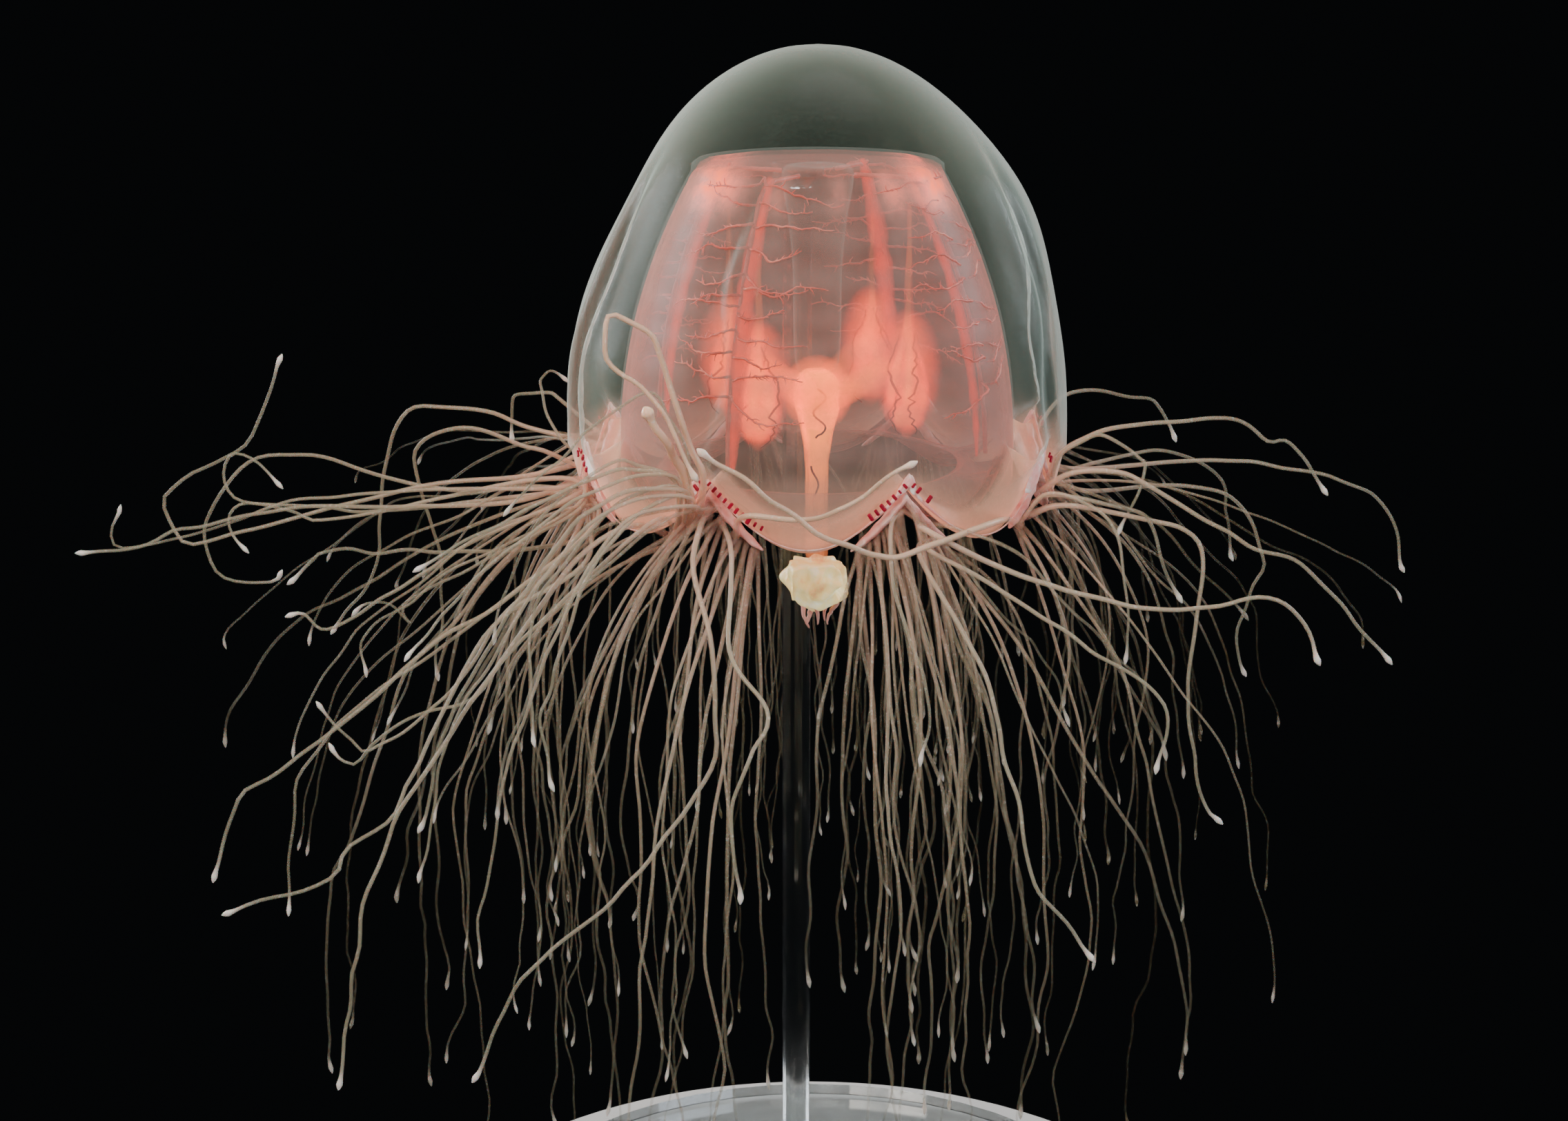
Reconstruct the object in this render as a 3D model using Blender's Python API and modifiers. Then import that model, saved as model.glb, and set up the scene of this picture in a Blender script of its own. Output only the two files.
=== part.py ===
# Hair-jelly hydromedusa (Spirocodon saltatrix), a still life-size model on a plain display stand.
# Metres, +Z up.  The origin is the centre of the stand's underside, on the bell's axis, and -Y is
# the front.  Angles round the axis are degrees from the front towards +X.
import bmesh
import bpy
from math import atan2, cos, pi, radians, sin, sqrt
from mathutils import Matrix, Vector

MM = 0.001
GAP = 0.3 * MM                    # clearance between pieces that touch

# Display stand
BASE_RADIUS = 44 * MM
BASE_HEIGHT = 6 * MM
ROD_RADIUS = 1.75 * MM
ROD_HEAD_RADIUS = 3.2 * MM
ROD_HEAD_HEIGHT = 1.5 * MM
ROD_DISTANCE = 8 * MM             # from the bell's axis
ROD_ANGLE = 197                   # midway between two radial canals

# Bell of clear jelly
APEX_Z = 158 * MM
WIDEST_Z = 115 * MM
BELL_RADIUS = 29.5 * MM
BELL_POWER = 1.85                 # 2 would be an ellipse; less is more conical
SHOULDER_Z = 141 * MM
SHOULDER_HEIGHT = 9 * MM
SHOULDER_SHIFT = 1.2 * MM         # the dome leans a little towards +X
RIM_Z = 112.5 * MM                # lower edge of the bell at the notches
RIM_RADIUS = 28.6 * MM
RIM_INNER_RADIUS = 25.2 * MM
LOBE_COUNT = 8
LOBE_DROP = 7.5 * MM              # the lobes hang this far below the notches
LOBE_HEIGHT = 9 * MM              # the part of the bell that the lobes draw down
LOBE_POWER = 0.45                 # under 1 makes each notch a narrow V
NOTCH_ANGLE = -70.5               # the first notch
BELL_SEGMENTS = 40

# Subumbrella, the thin coloured wall of the bell's cavity
CEILING_Z = 144.8 * MM
CEILING_RADIUS = 13.7 * MM
CAVITY_RADIUS = 23.3 * MM
CAVITY_POWER = 2.1
CAVITY_FOOT_Z = 110.5 * MM
LINING = 0.6 * MM
VELUM_RADIUS = 17 * MM            # opening left by the velum, the shelf inside the rim
VELUM_Z = 109 * MM

# Radial canals, gonads, peduncle, stomach and mouth
CANAL_COUNT = 4
CANAL_ANGLE = -28                 # the first canal
CANAL_RADIUS = 0.45 * MM
GONAD_REACH = (14.5 * MM, 11.8 * MM)
GONAD_RADIUS = 3.0 * MM
GONAD_NECK = (0.4 * MM, 1.05 * MM)  # its radius at the top, and where it meets the sac
GONAD_NECK_LENGTH = 17 * MM
GONAD_TOP_Z = 141 * MM
GONAD_Z = 118.8 * MM
GONAD_SPREAD = 4.7 * MM
GONAD_FOOT_Z = 113 * MM
PEDUNCLE_RADIUS = 4.0 * MM
STOMACH_TOP_Z = 120.5 * MM
STOMACH_RADIUS = 2.6 * MM
MANUBRIUM_RADIUS = 1.4 * MM
MOUTH_Z = 94.7 * MM
MOUTH_RADIUS = 3.5 * MM
LIP_COUNT = 4
LIP_LENGTH = 3.4 * MM

# Tentacle clusters: a soft pad bent over each notch, along the edges of the two lobes beside it,
# and the tentacles that grow from it
PAD_DISTANCE = 27.3 * MM
PAD_SPREAD = 12.5                 # degrees from the notch to the pad's end
PAD_HALF_DEPTH = 2.3 * MM
PAD_HALF_HEIGHT = 1.7 * MM
TENTACLE_RADIUS = 0.62 * MM       # at the root
TIP_RADIUS = 0.38 * MM
SEGMENT = 8.0 * MM                # length of a tentacle's straight facets
DIVIDE = 0.45                     # share of a long tentacle that belongs to its cluster's solid
WHOLE_LENGTH = 42 * MM            # a shorter one stays in its cluster's solid whole
TIP_Z = 13 * MM                   # no tentacle hangs lower

CLEAR = (0.74, 0.83, 0.81)
MILKY = (0.58, 0.45, 0.42)
RED = (0.85, 0.30, 0.25)
ORANGE = (0.95, 0.50, 0.33)
AMBER = (0.95, 0.62, 0.36)
CREAM = (0.94, 0.87, 0.62)
PINK = (0.91, 0.62, 0.58)
BEIGE = (0.76, 0.63, 0.55)
ACRYLIC = (0.90, 0.92, 0.93)

# Tentacles with a pose of their own: cluster, place across its pad, and the points (mm) that the
# tentacle passes through after its root, the last of them its tip.
POSED = {
    "far_left": (0, 0.1, [(-36.5, -12, 107), (-61, -14.5, 107), (-75.5, -15.5, 103.5), (-80, -16, 102),
        (-84.5, -16, 102)]),
    "diagonal_high": (0, -0.45, [(-25, -20, 106.5), (-35.5, -26.5, 99), (-42, -29, 95.5), (-53.5, -34, 86),
        (-60.5, -37.5, 82.5), (-62.5, -38.5, 80.5), (-65, -40, 71.5)]),
    "diagonal_low": (0, -0.8, [(-25.5, -28, 104.5), (-34.5, -31.5, 99), (-40, -35, 90.5),
        (-43.5, -38, 83.5), (-46.5, -40.5, 79), (-50.5, -43, 77), (-51.5, -45, 75), (-55.5, -46.5, 73.5),
        (-59.5, -47.5, 73), (-63, -48, 71.5)]),
    "riser": (7, 0.5, [(-35.5, 6, 106), (-49.5, 6, 104.5), (-74.5, 5.5, 98), (-78.5, 5.5, 99),
        (-79.5, 5.5, 102.5), (-78, 5.5, 105), (-70, 5, 109.5), (-67.5, 5, 112.5), (-65.5, 5, 118.5),
        (-64, 5, 121)]),
    "hook": (7, -0.2, [(-39, 13, 103), (-47.5, 12.5, 103), (-55.5, 12.5, 105), (-61, 12, 107),
        (-66, 12, 107.5), (-71, 12, 106), (-74, 11.5, 102.5), (-76.5, 11.5, 98.5), (-76.5, 11.5, 95),
        (-74.5, 11, 92), (-71.5, 11, 91), (-68, 11, 91.5), (-66.5, 11, 93)]),
    "arch": (7, -0.5, [(-36, 18, 109.5), (-41, 18.5, 111.5), (-48, 19.5, 112), (-51.5, 20, 111.5),
        (-53.5, 20.5, 108), (-55.5, 21.5, 101.5), (-57, 22.5, 90.5), (-63.5, 23, 81)]),
    "bow": (7, -0.85, [(-31.5, 17, 113), (-33.5, 18, 114), (-37.5, 20, 113.5), (-38.5, 20.5, 112),
        (-38.5, 21, 107)]),
    "long_front": (1, -0.9, [(-20, -30, 109), (-25, -33.5, 107), (-29.5, -37, 102), (-42.5, -42.5, 84),
        (-46, -44.5, 77), (-48.5, -46.5, 69), (-51.5, -48, 51.5)]),
    "loop": (1, -0.2, [(-12.5, -30, 114.5), (-14, -30.5, 118), (-17, -33, 128), (-18, -33.5, 130.5),
        (-21.5, -34, 133), (-22.5, -34.5, 132.5), (-22.5, -35, 128.5), (-21, -35.5, 126.5),
        (-17, -36, 123.5), (-15, -36, 119.5)]),
    "stub": (1, -0.4, [(-14.5, -30, 114), (-16.5, -35, 119), (-18.5, -37, 123.5)]),
    "crossing": (2, 0.5, [(11, -34, 109.5), (19, -32.5, 105), (27, -32, 102), (38, -31, 100),
        (50, -30.5, 100.5), (54.5, -30, 93.5)]),
    "raised": (1, 0.6, [(-8, -32, 110.5), (-2, -33.5, 110.5), (2, -35, 112), (10, -36, 117.5)]),
    "sweep": (1, 0.05, [(-13, -34, 109), (-13.5, -36, 105.5), (-11.5, -40, 99), (-11, -41.5, 91.5),
        (-12, -43, 85), (-21, -47, 73.5), (-29, -48.5, 67), (-32, -49.5, 63.5), (-37, -50, 54)]),
    "curl": (2, 0.8, [(10.5, -34, 106.5), (17, -44, 96.5), (18.5, -49, 89.5), (20, -51.5, 85.5),
        (21.5, -54.5, 78), (27.5, -56, 70)]),
    "high_right": (3, 0.3, [(27.5, -10, 112), (30.5, -9.5, 114), (35.5, -9, 115.5), (48, -8.5, 116),
        (52, -8.5, 113.5), (55, -8, 113.5), (59, -8, 107)]),
    "low_right": (3, -0.3, [(28.5, -16, 111.5), (33.5, -17.5, 112), (36.5, -19, 111), (46.5, -22.5, 105.5),
        (54.5, -24.5, 102), (63, -27, 92.5)]),
    "bend_right": (3, -0.75, [(28, -17, 108), (38, -19, 106.5), (40.5, -20, 106), (42.5, -20.5, 104),
        (42.5, -22, 99), (41.5, -24, 88), (43.5, -25, 75.5), (45.5, -25, 72.5)]),
    "far_right": (4, -0.3, [(32, 10, 106), (50, 12.5, 106.5), (64.5, 14, 104), (72.5, 15.5, 99),
        (75.5, 16, 91)]),
    "back_right": (4, 0.3, [(33, 16, 102), (45.5, 18, 102), (54, 20, 99.5), (57.5, 21.5, 93),
        (58, 22, 89.5), (55.5, 23.5, 81), (57, 24, 74.5)]),
    "back_arc": (4, 0.7, [(32, 20, 113.5), (41.5, 21.5, 112.5), (44, 21.5, 111), (46.5, 22, 106.5)]),
    "draped": (3, -0.9, [(20.5, -28, 110.5), (11, -36.5, 108), (6, -39.5, 108), (3.5, -41, 109),
        (-2, -43.5, 113), (-12.5, -46, 121)]),
}

# Tentacles that stream out and droop by rule: cluster, place across its pad (-1 to 1), turn from
# the cluster's own direction (degrees), start slope (degrees), reach and fall (mm).
DROOPING = [
    (0, 0.6, 30, -30, 20, 84),
    (7, -0.95, -28, -40, 15, 90), (7, 0.9, 32, -20, 33, 72),
    (1, -0.7, -22, -45, 9, 72), (1, 0.95, 12, -52, 16, 90),
    (2, -0.8, -16, -55, 12, 91), (2, -0.3, -6, -25, 27, 68), (2, 0.2, 6, -60, 14, 89), (2, 0.95, 30, -45, 12, 80),
    (3, -0.98, -26, -55, 10, 86),
    (4, -0.8, -14, -55, 15, 88), (4, 0.75, 20, -10, 38, 60),
    (5, -0.8, -24, -48, 16, 88), (5, -0.35, -10, 8, 47, 34), (5, 0.1, 3, -20, 33, 64), (5, 0.6, 15, -55, 12, 92),
    (6, -0.85, -22, -10, 36, 60), (6, -0.4, -9, -50, 14, 90), (6, 0.05, 2, 10, 49, 30), (6, 0.8, 26, -55, 13, 90),
]


def around(angle, distance, height):
    """Point at an angle round the axis, a distance from it and a height."""
    a = radians(angle)
    return Vector((distance * sin(a), -distance * cos(a), height))


def new_material(name, colour, roughness, alpha=1.0):
    material = bpy.data.materials.new(name)
    material.use_nodes = True
    shader = material.node_tree.nodes["Principled BSDF"]
    shader.inputs["Base Color"].default_value = (*colour, 1)
    shader.inputs["Roughness"].default_value = roughness
    shader.inputs["Metallic"].default_value = 0
    shader.inputs["Alpha"].default_value = alpha
    return material


def finish_mesh(mesh, material):
    """Shade a mesh smooth, keep its hard edges and give it its material."""
    mesh.shade_smooth()
    mesh.set_sharp_from_angle(angle=radians(35))
    mesh.materials.clear()
    mesh.materials.append(material)


def place(name, mesh, material, collection):
    finish_mesh(mesh, material)
    piece = bpy.data.objects.new(name, mesh)
    collection.objects.link(piece)
    return piece


def evaluated_mesh(piece):
    """Mesh of an object with its modifiers, caps welded; the object itself is removed."""
    depsgraph = bpy.context.evaluated_depsgraph_get()
    mesh = bpy.data.meshes.new_from_object(piece.evaluated_get(depsgraph))
    mesh.transform(piece.matrix_world)
    bpy.data.objects.remove(piece)
    shape = bmesh.new()
    shape.from_mesh(mesh)
    bmesh.ops.remove_doubles(shape, verts=shape.verts, dist=0.01 * MM)
    bmesh.ops.recalc_face_normals(shape, faces=shape.faces)
    shape.to_mesh(mesh)
    shape.free()
    return mesh


def turned(profile, segments, first_angle=0.0):
    """Mesh of a profile of (radius, height) points turned round the Z axis."""
    outline = bpy.data.meshes.new("outline")
    points = [(r, 0, z) for r, z in profile]
    outline.from_pydata(points, [(i, i + 1) for i in range(len(points) - 1)], [])
    piece = bpy.data.objects.new("outline", outline)
    bpy.context.scene.collection.objects.link(piece)
    screw = piece.modifiers.new("Turn", "SCREW")
    screw.steps = segments
    screw.render_steps = segments
    screw.use_merge_vertices = True
    screw.merge_threshold = 0.01 * MM
    piece.rotation_euler.z = radians(first_angle - 90)
    bpy.context.view_layer.update()
    return evaluated_mesh(piece)


def tube(points, radii, sides=0):
    """Mesh of a tube with filled ends; sides is the curve's bevel resolution."""
    curve = bpy.data.curves.new("tube", "CURVE")
    curve.dimensions = "3D"
    curve.bevel_depth = 1
    curve.bevel_resolution = sides
    curve.use_fill_caps = True
    spline = curve.splines.new("POLY")
    spline.points.add(len(points) - 1)
    for point, place_at, radius in zip(spline.points, points, radii):
        point.co = (*place_at, 1)
        point.radius = radius
    piece = bpy.data.objects.new("tube", curve)
    bpy.context.scene.collection.objects.link(piece)
    bpy.context.view_layer.update()
    return evaluated_mesh(piece)


def lobe_wave(angle):
    """0 at each notch of the margin, 1 in the middle of each lobe."""
    return (0.5 - 0.5 * cos(radians(LOBE_COUNT * (angle - NOTCH_ANGLE)))) ** LOBE_POWER


def shape_bell(mesh):
    """Draw the lobes down and lean the dome."""
    for vertex in mesh.vertices:
        x, y, z = vertex.co
        near_rim = min(max((RIM_Z + LOBE_HEIGHT - z) / LOBE_HEIGHT, 0), 1)
        angle = atan2(x, -y) * 180 / pi
        vertex.co.z = z - LOBE_DROP * lobe_wave(angle) * near_rim ** 2
        rise = (z - SHOULDER_Z) / SHOULDER_HEIGHT
        outside = sqrt(x * x + y * y) > cavity_radius(z) + 2 * GAP or z > CEILING_Z + 2 * GAP
        if outside:
            vertex.co.x = x + SHOULDER_SHIFT * 2.718 ** (-rise * rise)


def bell_radius(z):
    rise = max((z - WIDEST_Z) / (APEX_Z - WIDEST_Z), 0)
    return BELL_RADIUS * sqrt(max(1 - rise ** BELL_POWER, 0))


def cavity_radius(z):
    rise = min(max((z - CAVITY_FOOT_Z) / (CEILING_Z - CAVITY_FOOT_Z), 0), 1)
    return CEILING_RADIUS + (CAVITY_RADIUS - CEILING_RADIUS) * (1 - rise ** CAVITY_POWER)


def cavity_profile(grow, heights):
    """The cavity's wall, bottom to top, moved outwards by grow."""
    wall = [(cavity_radius(z) + grow, z) for z in heights]
    return wall + [(CEILING_RADIUS + grow - 0.8 * MM, CEILING_Z + grow), (0, CEILING_Z + grow)]


def bell_mesh():
    dome = [(0, APEX_Z)]
    steps = 9
    for i in range(1, steps + 1):
        z = WIDEST_Z + (APEX_Z - WIDEST_Z) * cos(pi / 2 * i / steps) ** 1.15
        dome.append((bell_radius(z), z))
    rim = [
        (RIM_RADIUS + 0.4 * MM, RIM_Z + 2.2 * MM),
        (RIM_RADIUS - 0.5 * MM, RIM_Z + 0.5 * MM),
        (RIM_RADIUS - 1.7 * MM, RIM_Z),
        (RIM_INNER_RADIUS, RIM_Z + 0.8 * MM),
    ]
    heights = [RIM_Z + 1.8 * MM, 118 * MM, 126 * MM, 133 * MM, 139 * MM, 143.6 * MM]
    mesh = turned(dome + rim + cavity_profile(GAP, heights), BELL_SEGMENTS, NOTCH_ANGLE)
    shape_bell(mesh)
    return mesh


def subumbrella_mesh():
    heights = [CAVITY_FOOT_Z + 1.2 * MM, 118 * MM, 126 * MM, 133 * MM, 139 * MM, 143.6 * MM]
    outer = cavity_profile(0, heights)
    inner = cavity_profile(-LINING, [z - 0.3 * LINING for z in heights])
    velum = [(VELUM_RADIUS, VELUM_Z), (VELUM_RADIUS, VELUM_Z + LINING)]
    foot = [(CAVITY_RADIUS - 0.4 * MM, CAVITY_FOOT_Z)]
    return turned(list(reversed(outer)) + foot + velum + inner, BELL_SEGMENTS, NOTCH_ANGLE)


def canal_mesh(angle):
    inset = LINING + GAP + CANAL_RADIUS
    ceiling = CEILING_Z - inset
    points = [around(angle, PEDUNCLE_RADIUS + GAP + CANAL_RADIUS + 0.5 * MM, ceiling)]
    points.append(around(angle, 9 * MM, ceiling))
    points.append(around(angle, CEILING_RADIUS - inset - 1.2 * MM, ceiling - 0.1 * MM))
    for z in (142, 139, 133, 126, 118, 112.5):
        points.append(around(angle, cavity_radius(z * MM) - inset - 0.15 * MM, z * MM))
    return tube(points, [CANAL_RADIUS] * len(points))


def gonad_mesh(index):
    angle = CANAL_ANGLE + 90 * index
    reach = GONAD_REACH[index % 2]
    steps = 8
    points = []
    radii = []
    for i in range(steps + 1):
        share = i / steps
        z = GONAD_TOP_Z + (GONAD_FOOT_Z - GONAD_TOP_Z) * share
        wall = cavity_radius(z) - LINING - 2 * CANAL_RADIUS - 3 * GAP
        rise = min((GONAD_TOP_Z - z) / GONAD_NECK_LENGTH, 1) ** 1.5
        neck = GONAD_NECK[0] + (GONAD_NECK[1] - GONAD_NECK[0]) * rise
        bulge = 2.718 ** -(abs(z - GONAD_Z) / GONAD_SPREAD) ** 2.5
        radius = neck + (GONAD_RADIUS - neck) * bulge
        points.append(around(angle, min(reach, wall - 1.08 * radius), z))
        radii.append(radius)
    return tube(points, radii, sides=2)


def peduncle_mesh():
    top = CEILING_Z - LINING - GAP
    foot = STOMACH_TOP_Z + GAP
    profile = [(0, top), (PEDUNCLE_RADIUS, top), (0.85 * PEDUNCLE_RADIUS, top - 6 * MM)]
    profile += [(0.72 * PEDUNCLE_RADIUS, (top + foot) / 2), (0.62 * PEDUNCLE_RADIUS, foot), (0, foot)]
    return turned(profile, 14)


def stomach_mesh():
    top = STOMACH_TOP_Z
    foot = MOUTH_Z + MOUTH_RADIUS * 0.72
    profile = [
        (0, top),
        (0.85 * STOMACH_RADIUS, top),
        (STOMACH_RADIUS, top - 2.5 * MM),
        (0.92 * STOMACH_RADIUS, top - 5 * MM),
        (1.25 * MANUBRIUM_RADIUS, top - 9 * MM),
        (MANUBRIUM_RADIUS, top - 14 * MM),
        (MANUBRIUM_RADIUS, foot + 2 * MM),
        (0.85 * MANUBRIUM_RADIUS, foot),
        (0, foot),
    ]
    return turned(profile, 12)


def mouth_mesh():
    """Frilled ball whose underside runs out into pointed lips."""
    shape = bmesh.new()
    bmesh.ops.create_uvsphere(shape, u_segments=16, v_segments=9, radius=MOUTH_RADIUS)
    top = MOUTH_RADIUS * 0.72 - GAP
    for vertex in shape.verts:
        x, y, z = vertex.co
        angle = atan2(y, x)
        frill = 1 + 0.12 * cos(8 * angle)
        vertex.co.x = x * frill
        vertex.co.y = y * frill
        lip = max(cos(LIP_COUNT * angle), 0) * max(-z / MOUTH_RADIUS - 0.3, 0) * 1.6
        vertex.co.z = min(0.85 * z, top) - LIP_LENGTH * lip * (x * x + y * y) ** 0.5 / MOUTH_RADIUS * 1.6
    mesh = bpy.data.meshes.new("mouth")
    shape.to_mesh(mesh)
    shape.free()
    mesh.transform(Matrix.Translation((0, 0, MOUTH_Z)))
    return mesh


def smooth_route(points, step):
    """Points every step or so along a smooth curve through the given points."""
    ends = [points[0] * 2 - points[1], *points, points[-1] * 2 - points[-2]]
    fine = []
    for a, b, c, d in zip(ends, ends[1:], ends[2:], ends[3:]):
        for i in range(12):
            t = i / 12
            bend = (2 * a - 5 * b + 4 * c - d) * t * t + (3 * b - a - 3 * c + d) * t ** 3
            fine.append((2 * b + (c - a) * t + bend) / 2)
    fine.append(points[-1])
    return even_route(fine, step)


def even_route(fine, step):
    """The same route with its points evenly spaced."""
    lengths = [0.0]
    for a, b in zip(fine, fine[1:]):
        lengths.append(lengths[-1] + (b - a).length)
    count = max(round(lengths[-1] / step), 4)
    route = []
    k = 0
    for i in range(count + 1):
        target = lengths[-1] * i / count
        while k < len(fine) - 2 and lengths[k + 1] < target:
            k += 1
        share = (target - lengths[k]) / (lengths[k + 1] - lengths[k])
        route.append(fine[k].lerp(fine[k + 1], min(share, 1)))
    return route


def route_length(route):
    return sum((b - a).length for a, b in zip(route, route[1:]))


def pad_height(across):
    """Middle height of a pad, which follows the lobes' edges; across runs from -1 to 1."""
    margin = RIM_Z - LOBE_DROP * lobe_wave(NOTCH_ANGLE + across * PAD_SPREAD)
    return margin - GAP - PAD_HALF_HEIGHT


def pad_point(cluster, across):
    """Root of a tentacle inside its cluster's pad."""
    angle = NOTCH_ANGLE + 45 * cluster + 0.85 * across * PAD_SPREAD
    bow = 0.5 * PAD_HALF_DEPTH * sqrt(1 - min(across * across, 1))
    return around(angle, PAD_DISTANCE + bow, pad_height(0.85 * across))


def posed_route(cluster, across, points):
    root = pad_point(cluster, across)
    return smooth_route([root] + [Vector(p) * MM for p in points], SEGMENT)


def drooping_route(cluster, across, turn, slope, reach, fall):
    """A tentacle that leaves its pad at a slope, runs outwards and ends hanging straight down."""
    root = pad_point(cluster, across)
    angle = NOTCH_ANGLE + 45 * cluster + turn
    outward = around(angle, 1, 0)
    tip = root + outward * reach * MM - Vector((0, 0, fall * MM))
    tip.z = max(tip.z, TIP_Z)
    drive = 0.42 * (tip - root).length
    start = root + (outward * cos(radians(slope)) + Vector((0, 0, sin(radians(slope))))) * drive
    end = tip + Vector((0, 0, 0.45 * fall * MM)) - outward * 0.04 * reach * MM
    fine = []
    for i in range(49):
        t = i / 48
        u = 1 - t
        fine.append(root * u ** 3 + start * 3 * u * u * t + end * 3 * u * t * t + tip * t ** 3)
    return even_route(fine, SEGMENT)


def tentacle_radii(count, whole, first=0):
    """Radii that taper from the root to the tip, for count points of a route of whole points."""
    return [TENTACLE_RADIUS + (TIP_RADIUS - TENTACLE_RADIUS) * (first + i) / (whole - 1) for i in range(count)]


def divided(route):
    """The lengths before and after a small gap, with the radii of each."""
    cut = max(round((len(route) - 1) * DIVIDE), 2)
    along = (route[cut + 1] - route[cut]).normalized()
    upper = route[:cut + 1]
    lower = [route[cut] + along * GAP] + route[cut + 1:]
    whole = len(route)
    return (upper, tentacle_radii(len(upper), whole)), (lower, tentacle_radii(len(lower), whole, cut))


def tentacle_list():
    """(name, cluster, route) of every tentacle, the posed ones first."""
    found = [(name, spec[0], posed_route(*spec)) for name, spec in POSED.items()]
    for number, spec in enumerate(DROOPING):
        found.append(("droop_%02d" % number, spec[0], drooping_route(*spec)))
    return found


def pad_mesh(cluster):
    shape = bmesh.new()
    bmesh.ops.create_uvsphere(shape, u_segments=12, v_segments=7, radius=1)
    for vertex in shape.verts:
        x, y, z = vertex.co
        angle = NOTCH_ANGLE + 45 * cluster + x * PAD_SPREAD
        vertex.co = around(angle, PAD_DISTANCE - y * PAD_HALF_DEPTH, pad_height(x) + z * PAD_HALF_HEIGHT)
    mesh = bpy.data.meshes.new("pad")
    shape.to_mesh(mesh)
    shape.free()
    return mesh


def add_cluster(cluster, tentacles, pink, beige, parts, cutters):
    """A pad joined with its tentacles' upper lengths, and each lower length as its own piece."""
    pad = place("cluster_%d" % (cluster + 1), pad_mesh(cluster), pink, parts)
    for name, route in tentacles:
        whole = route_length(route) < WHOLE_LENGTH
        upper, lower = (route, tentacle_radii(len(route), len(route))), None
        if not whole:
            upper, lower = divided(route)
            place("tentacle_" + name, tube(*lower), beige, parts)
        root = place("root_" + name, tube(*upper), beige, cutters)
        root.hide_render = True
        root.display_type = "WIRE"
        union = pad.modifiers.new("Join " + name, "BOOLEAN")
        union.operation = "UNION"
        union.solver = "EXACT"
        union.object = root


def add_stand(material, parts):
    base = bmesh.new()
    bmesh.ops.create_cone(
        base, cap_ends=True, segments=48, radius1=BASE_RADIUS, radius2=BASE_RADIUS, depth=BASE_HEIGHT)
    bmesh.ops.translate(base, vec=(0, 0, BASE_HEIGHT / 2), verts=base.verts)
    mesh = bpy.data.meshes.new("base")
    base.to_mesh(mesh)
    base.free()
    plate = place("stand_base", mesh, material, parts)
    edge = plate.modifiers.new("Edge", "BEVEL")
    edge.width = 0.8 * MM
    edge.segments = 1
    edge.limit_method = "ANGLE"
    top = CEILING_Z - LINING - GAP
    profile = [(0, top), (ROD_HEAD_RADIUS, top), (ROD_HEAD_RADIUS, top - ROD_HEAD_HEIGHT)]
    profile += [(ROD_RADIUS, top - 2 * ROD_HEAD_HEIGHT), (ROD_RADIUS, BASE_HEIGHT + GAP), (0, BASE_HEIGHT + GAP)]
    rod = turned(profile, 16)
    rod.transform(Matrix.Translation(around(ROD_ANGLE, ROD_DISTANCE, 0)))
    place("stand_rod", rod, material, parts)


def build():
    for piece in list(bpy.data.objects):
        bpy.data.objects.remove(piece)
    parts = bpy.data.collections.new("hair_jelly")
    cutters = bpy.data.collections.new("cutters")
    bpy.context.scene.collection.children.link(parts)
    bpy.context.scene.collection.children.link(cutters)

    clear = new_material("bell_jelly", CLEAR, 0.2, 0.4)
    milky = new_material("subumbrella_wall", MILKY, 0.35, 0.6)
    red = new_material("canal_tissue", RED, 0.4)
    orange = new_material("gonad_tissue", ORANGE, 0.4)
    amber = new_material("stomach_tissue", AMBER, 0.4)
    cream = new_material("mouth_tissue", CREAM, 0.4)
    pink = new_material("pad_tissue", PINK, 0.4)
    beige = new_material("tentacle_tissue", BEIGE, 0.4)
    acrylic = new_material("stand_acrylic", ACRYLIC, 0.1, 0.5)

    add_stand(acrylic, parts)
    place("bell", bell_mesh(), clear, parts)
    place("subumbrella", subumbrella_mesh(), milky, parts)
    for i in range(CANAL_COUNT):
        place("canal_%d" % (i + 1), canal_mesh(CANAL_ANGLE + 90 * i), red, parts)
        place("gonad_%d" % (i + 1), gonad_mesh(i), orange, parts)
    place("peduncle", peduncle_mesh(), clear, parts)
    place("stomach", stomach_mesh(), amber, parts)
    place("mouth", mouth_mesh(), cream, parts)

    tentacles = tentacle_list()
    for cluster in range(LOBE_COUNT):
        own = [(name, route) for name, home, route in tentacles if home == cluster]
        add_cluster(cluster, own, pink, beige, parts, cutters)


build()
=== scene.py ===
import bpy
import random
from math import acos, atan2, cos, exp, pi, radians, sin, sqrt
from mathutils import Matrix, Vector, noise


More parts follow.
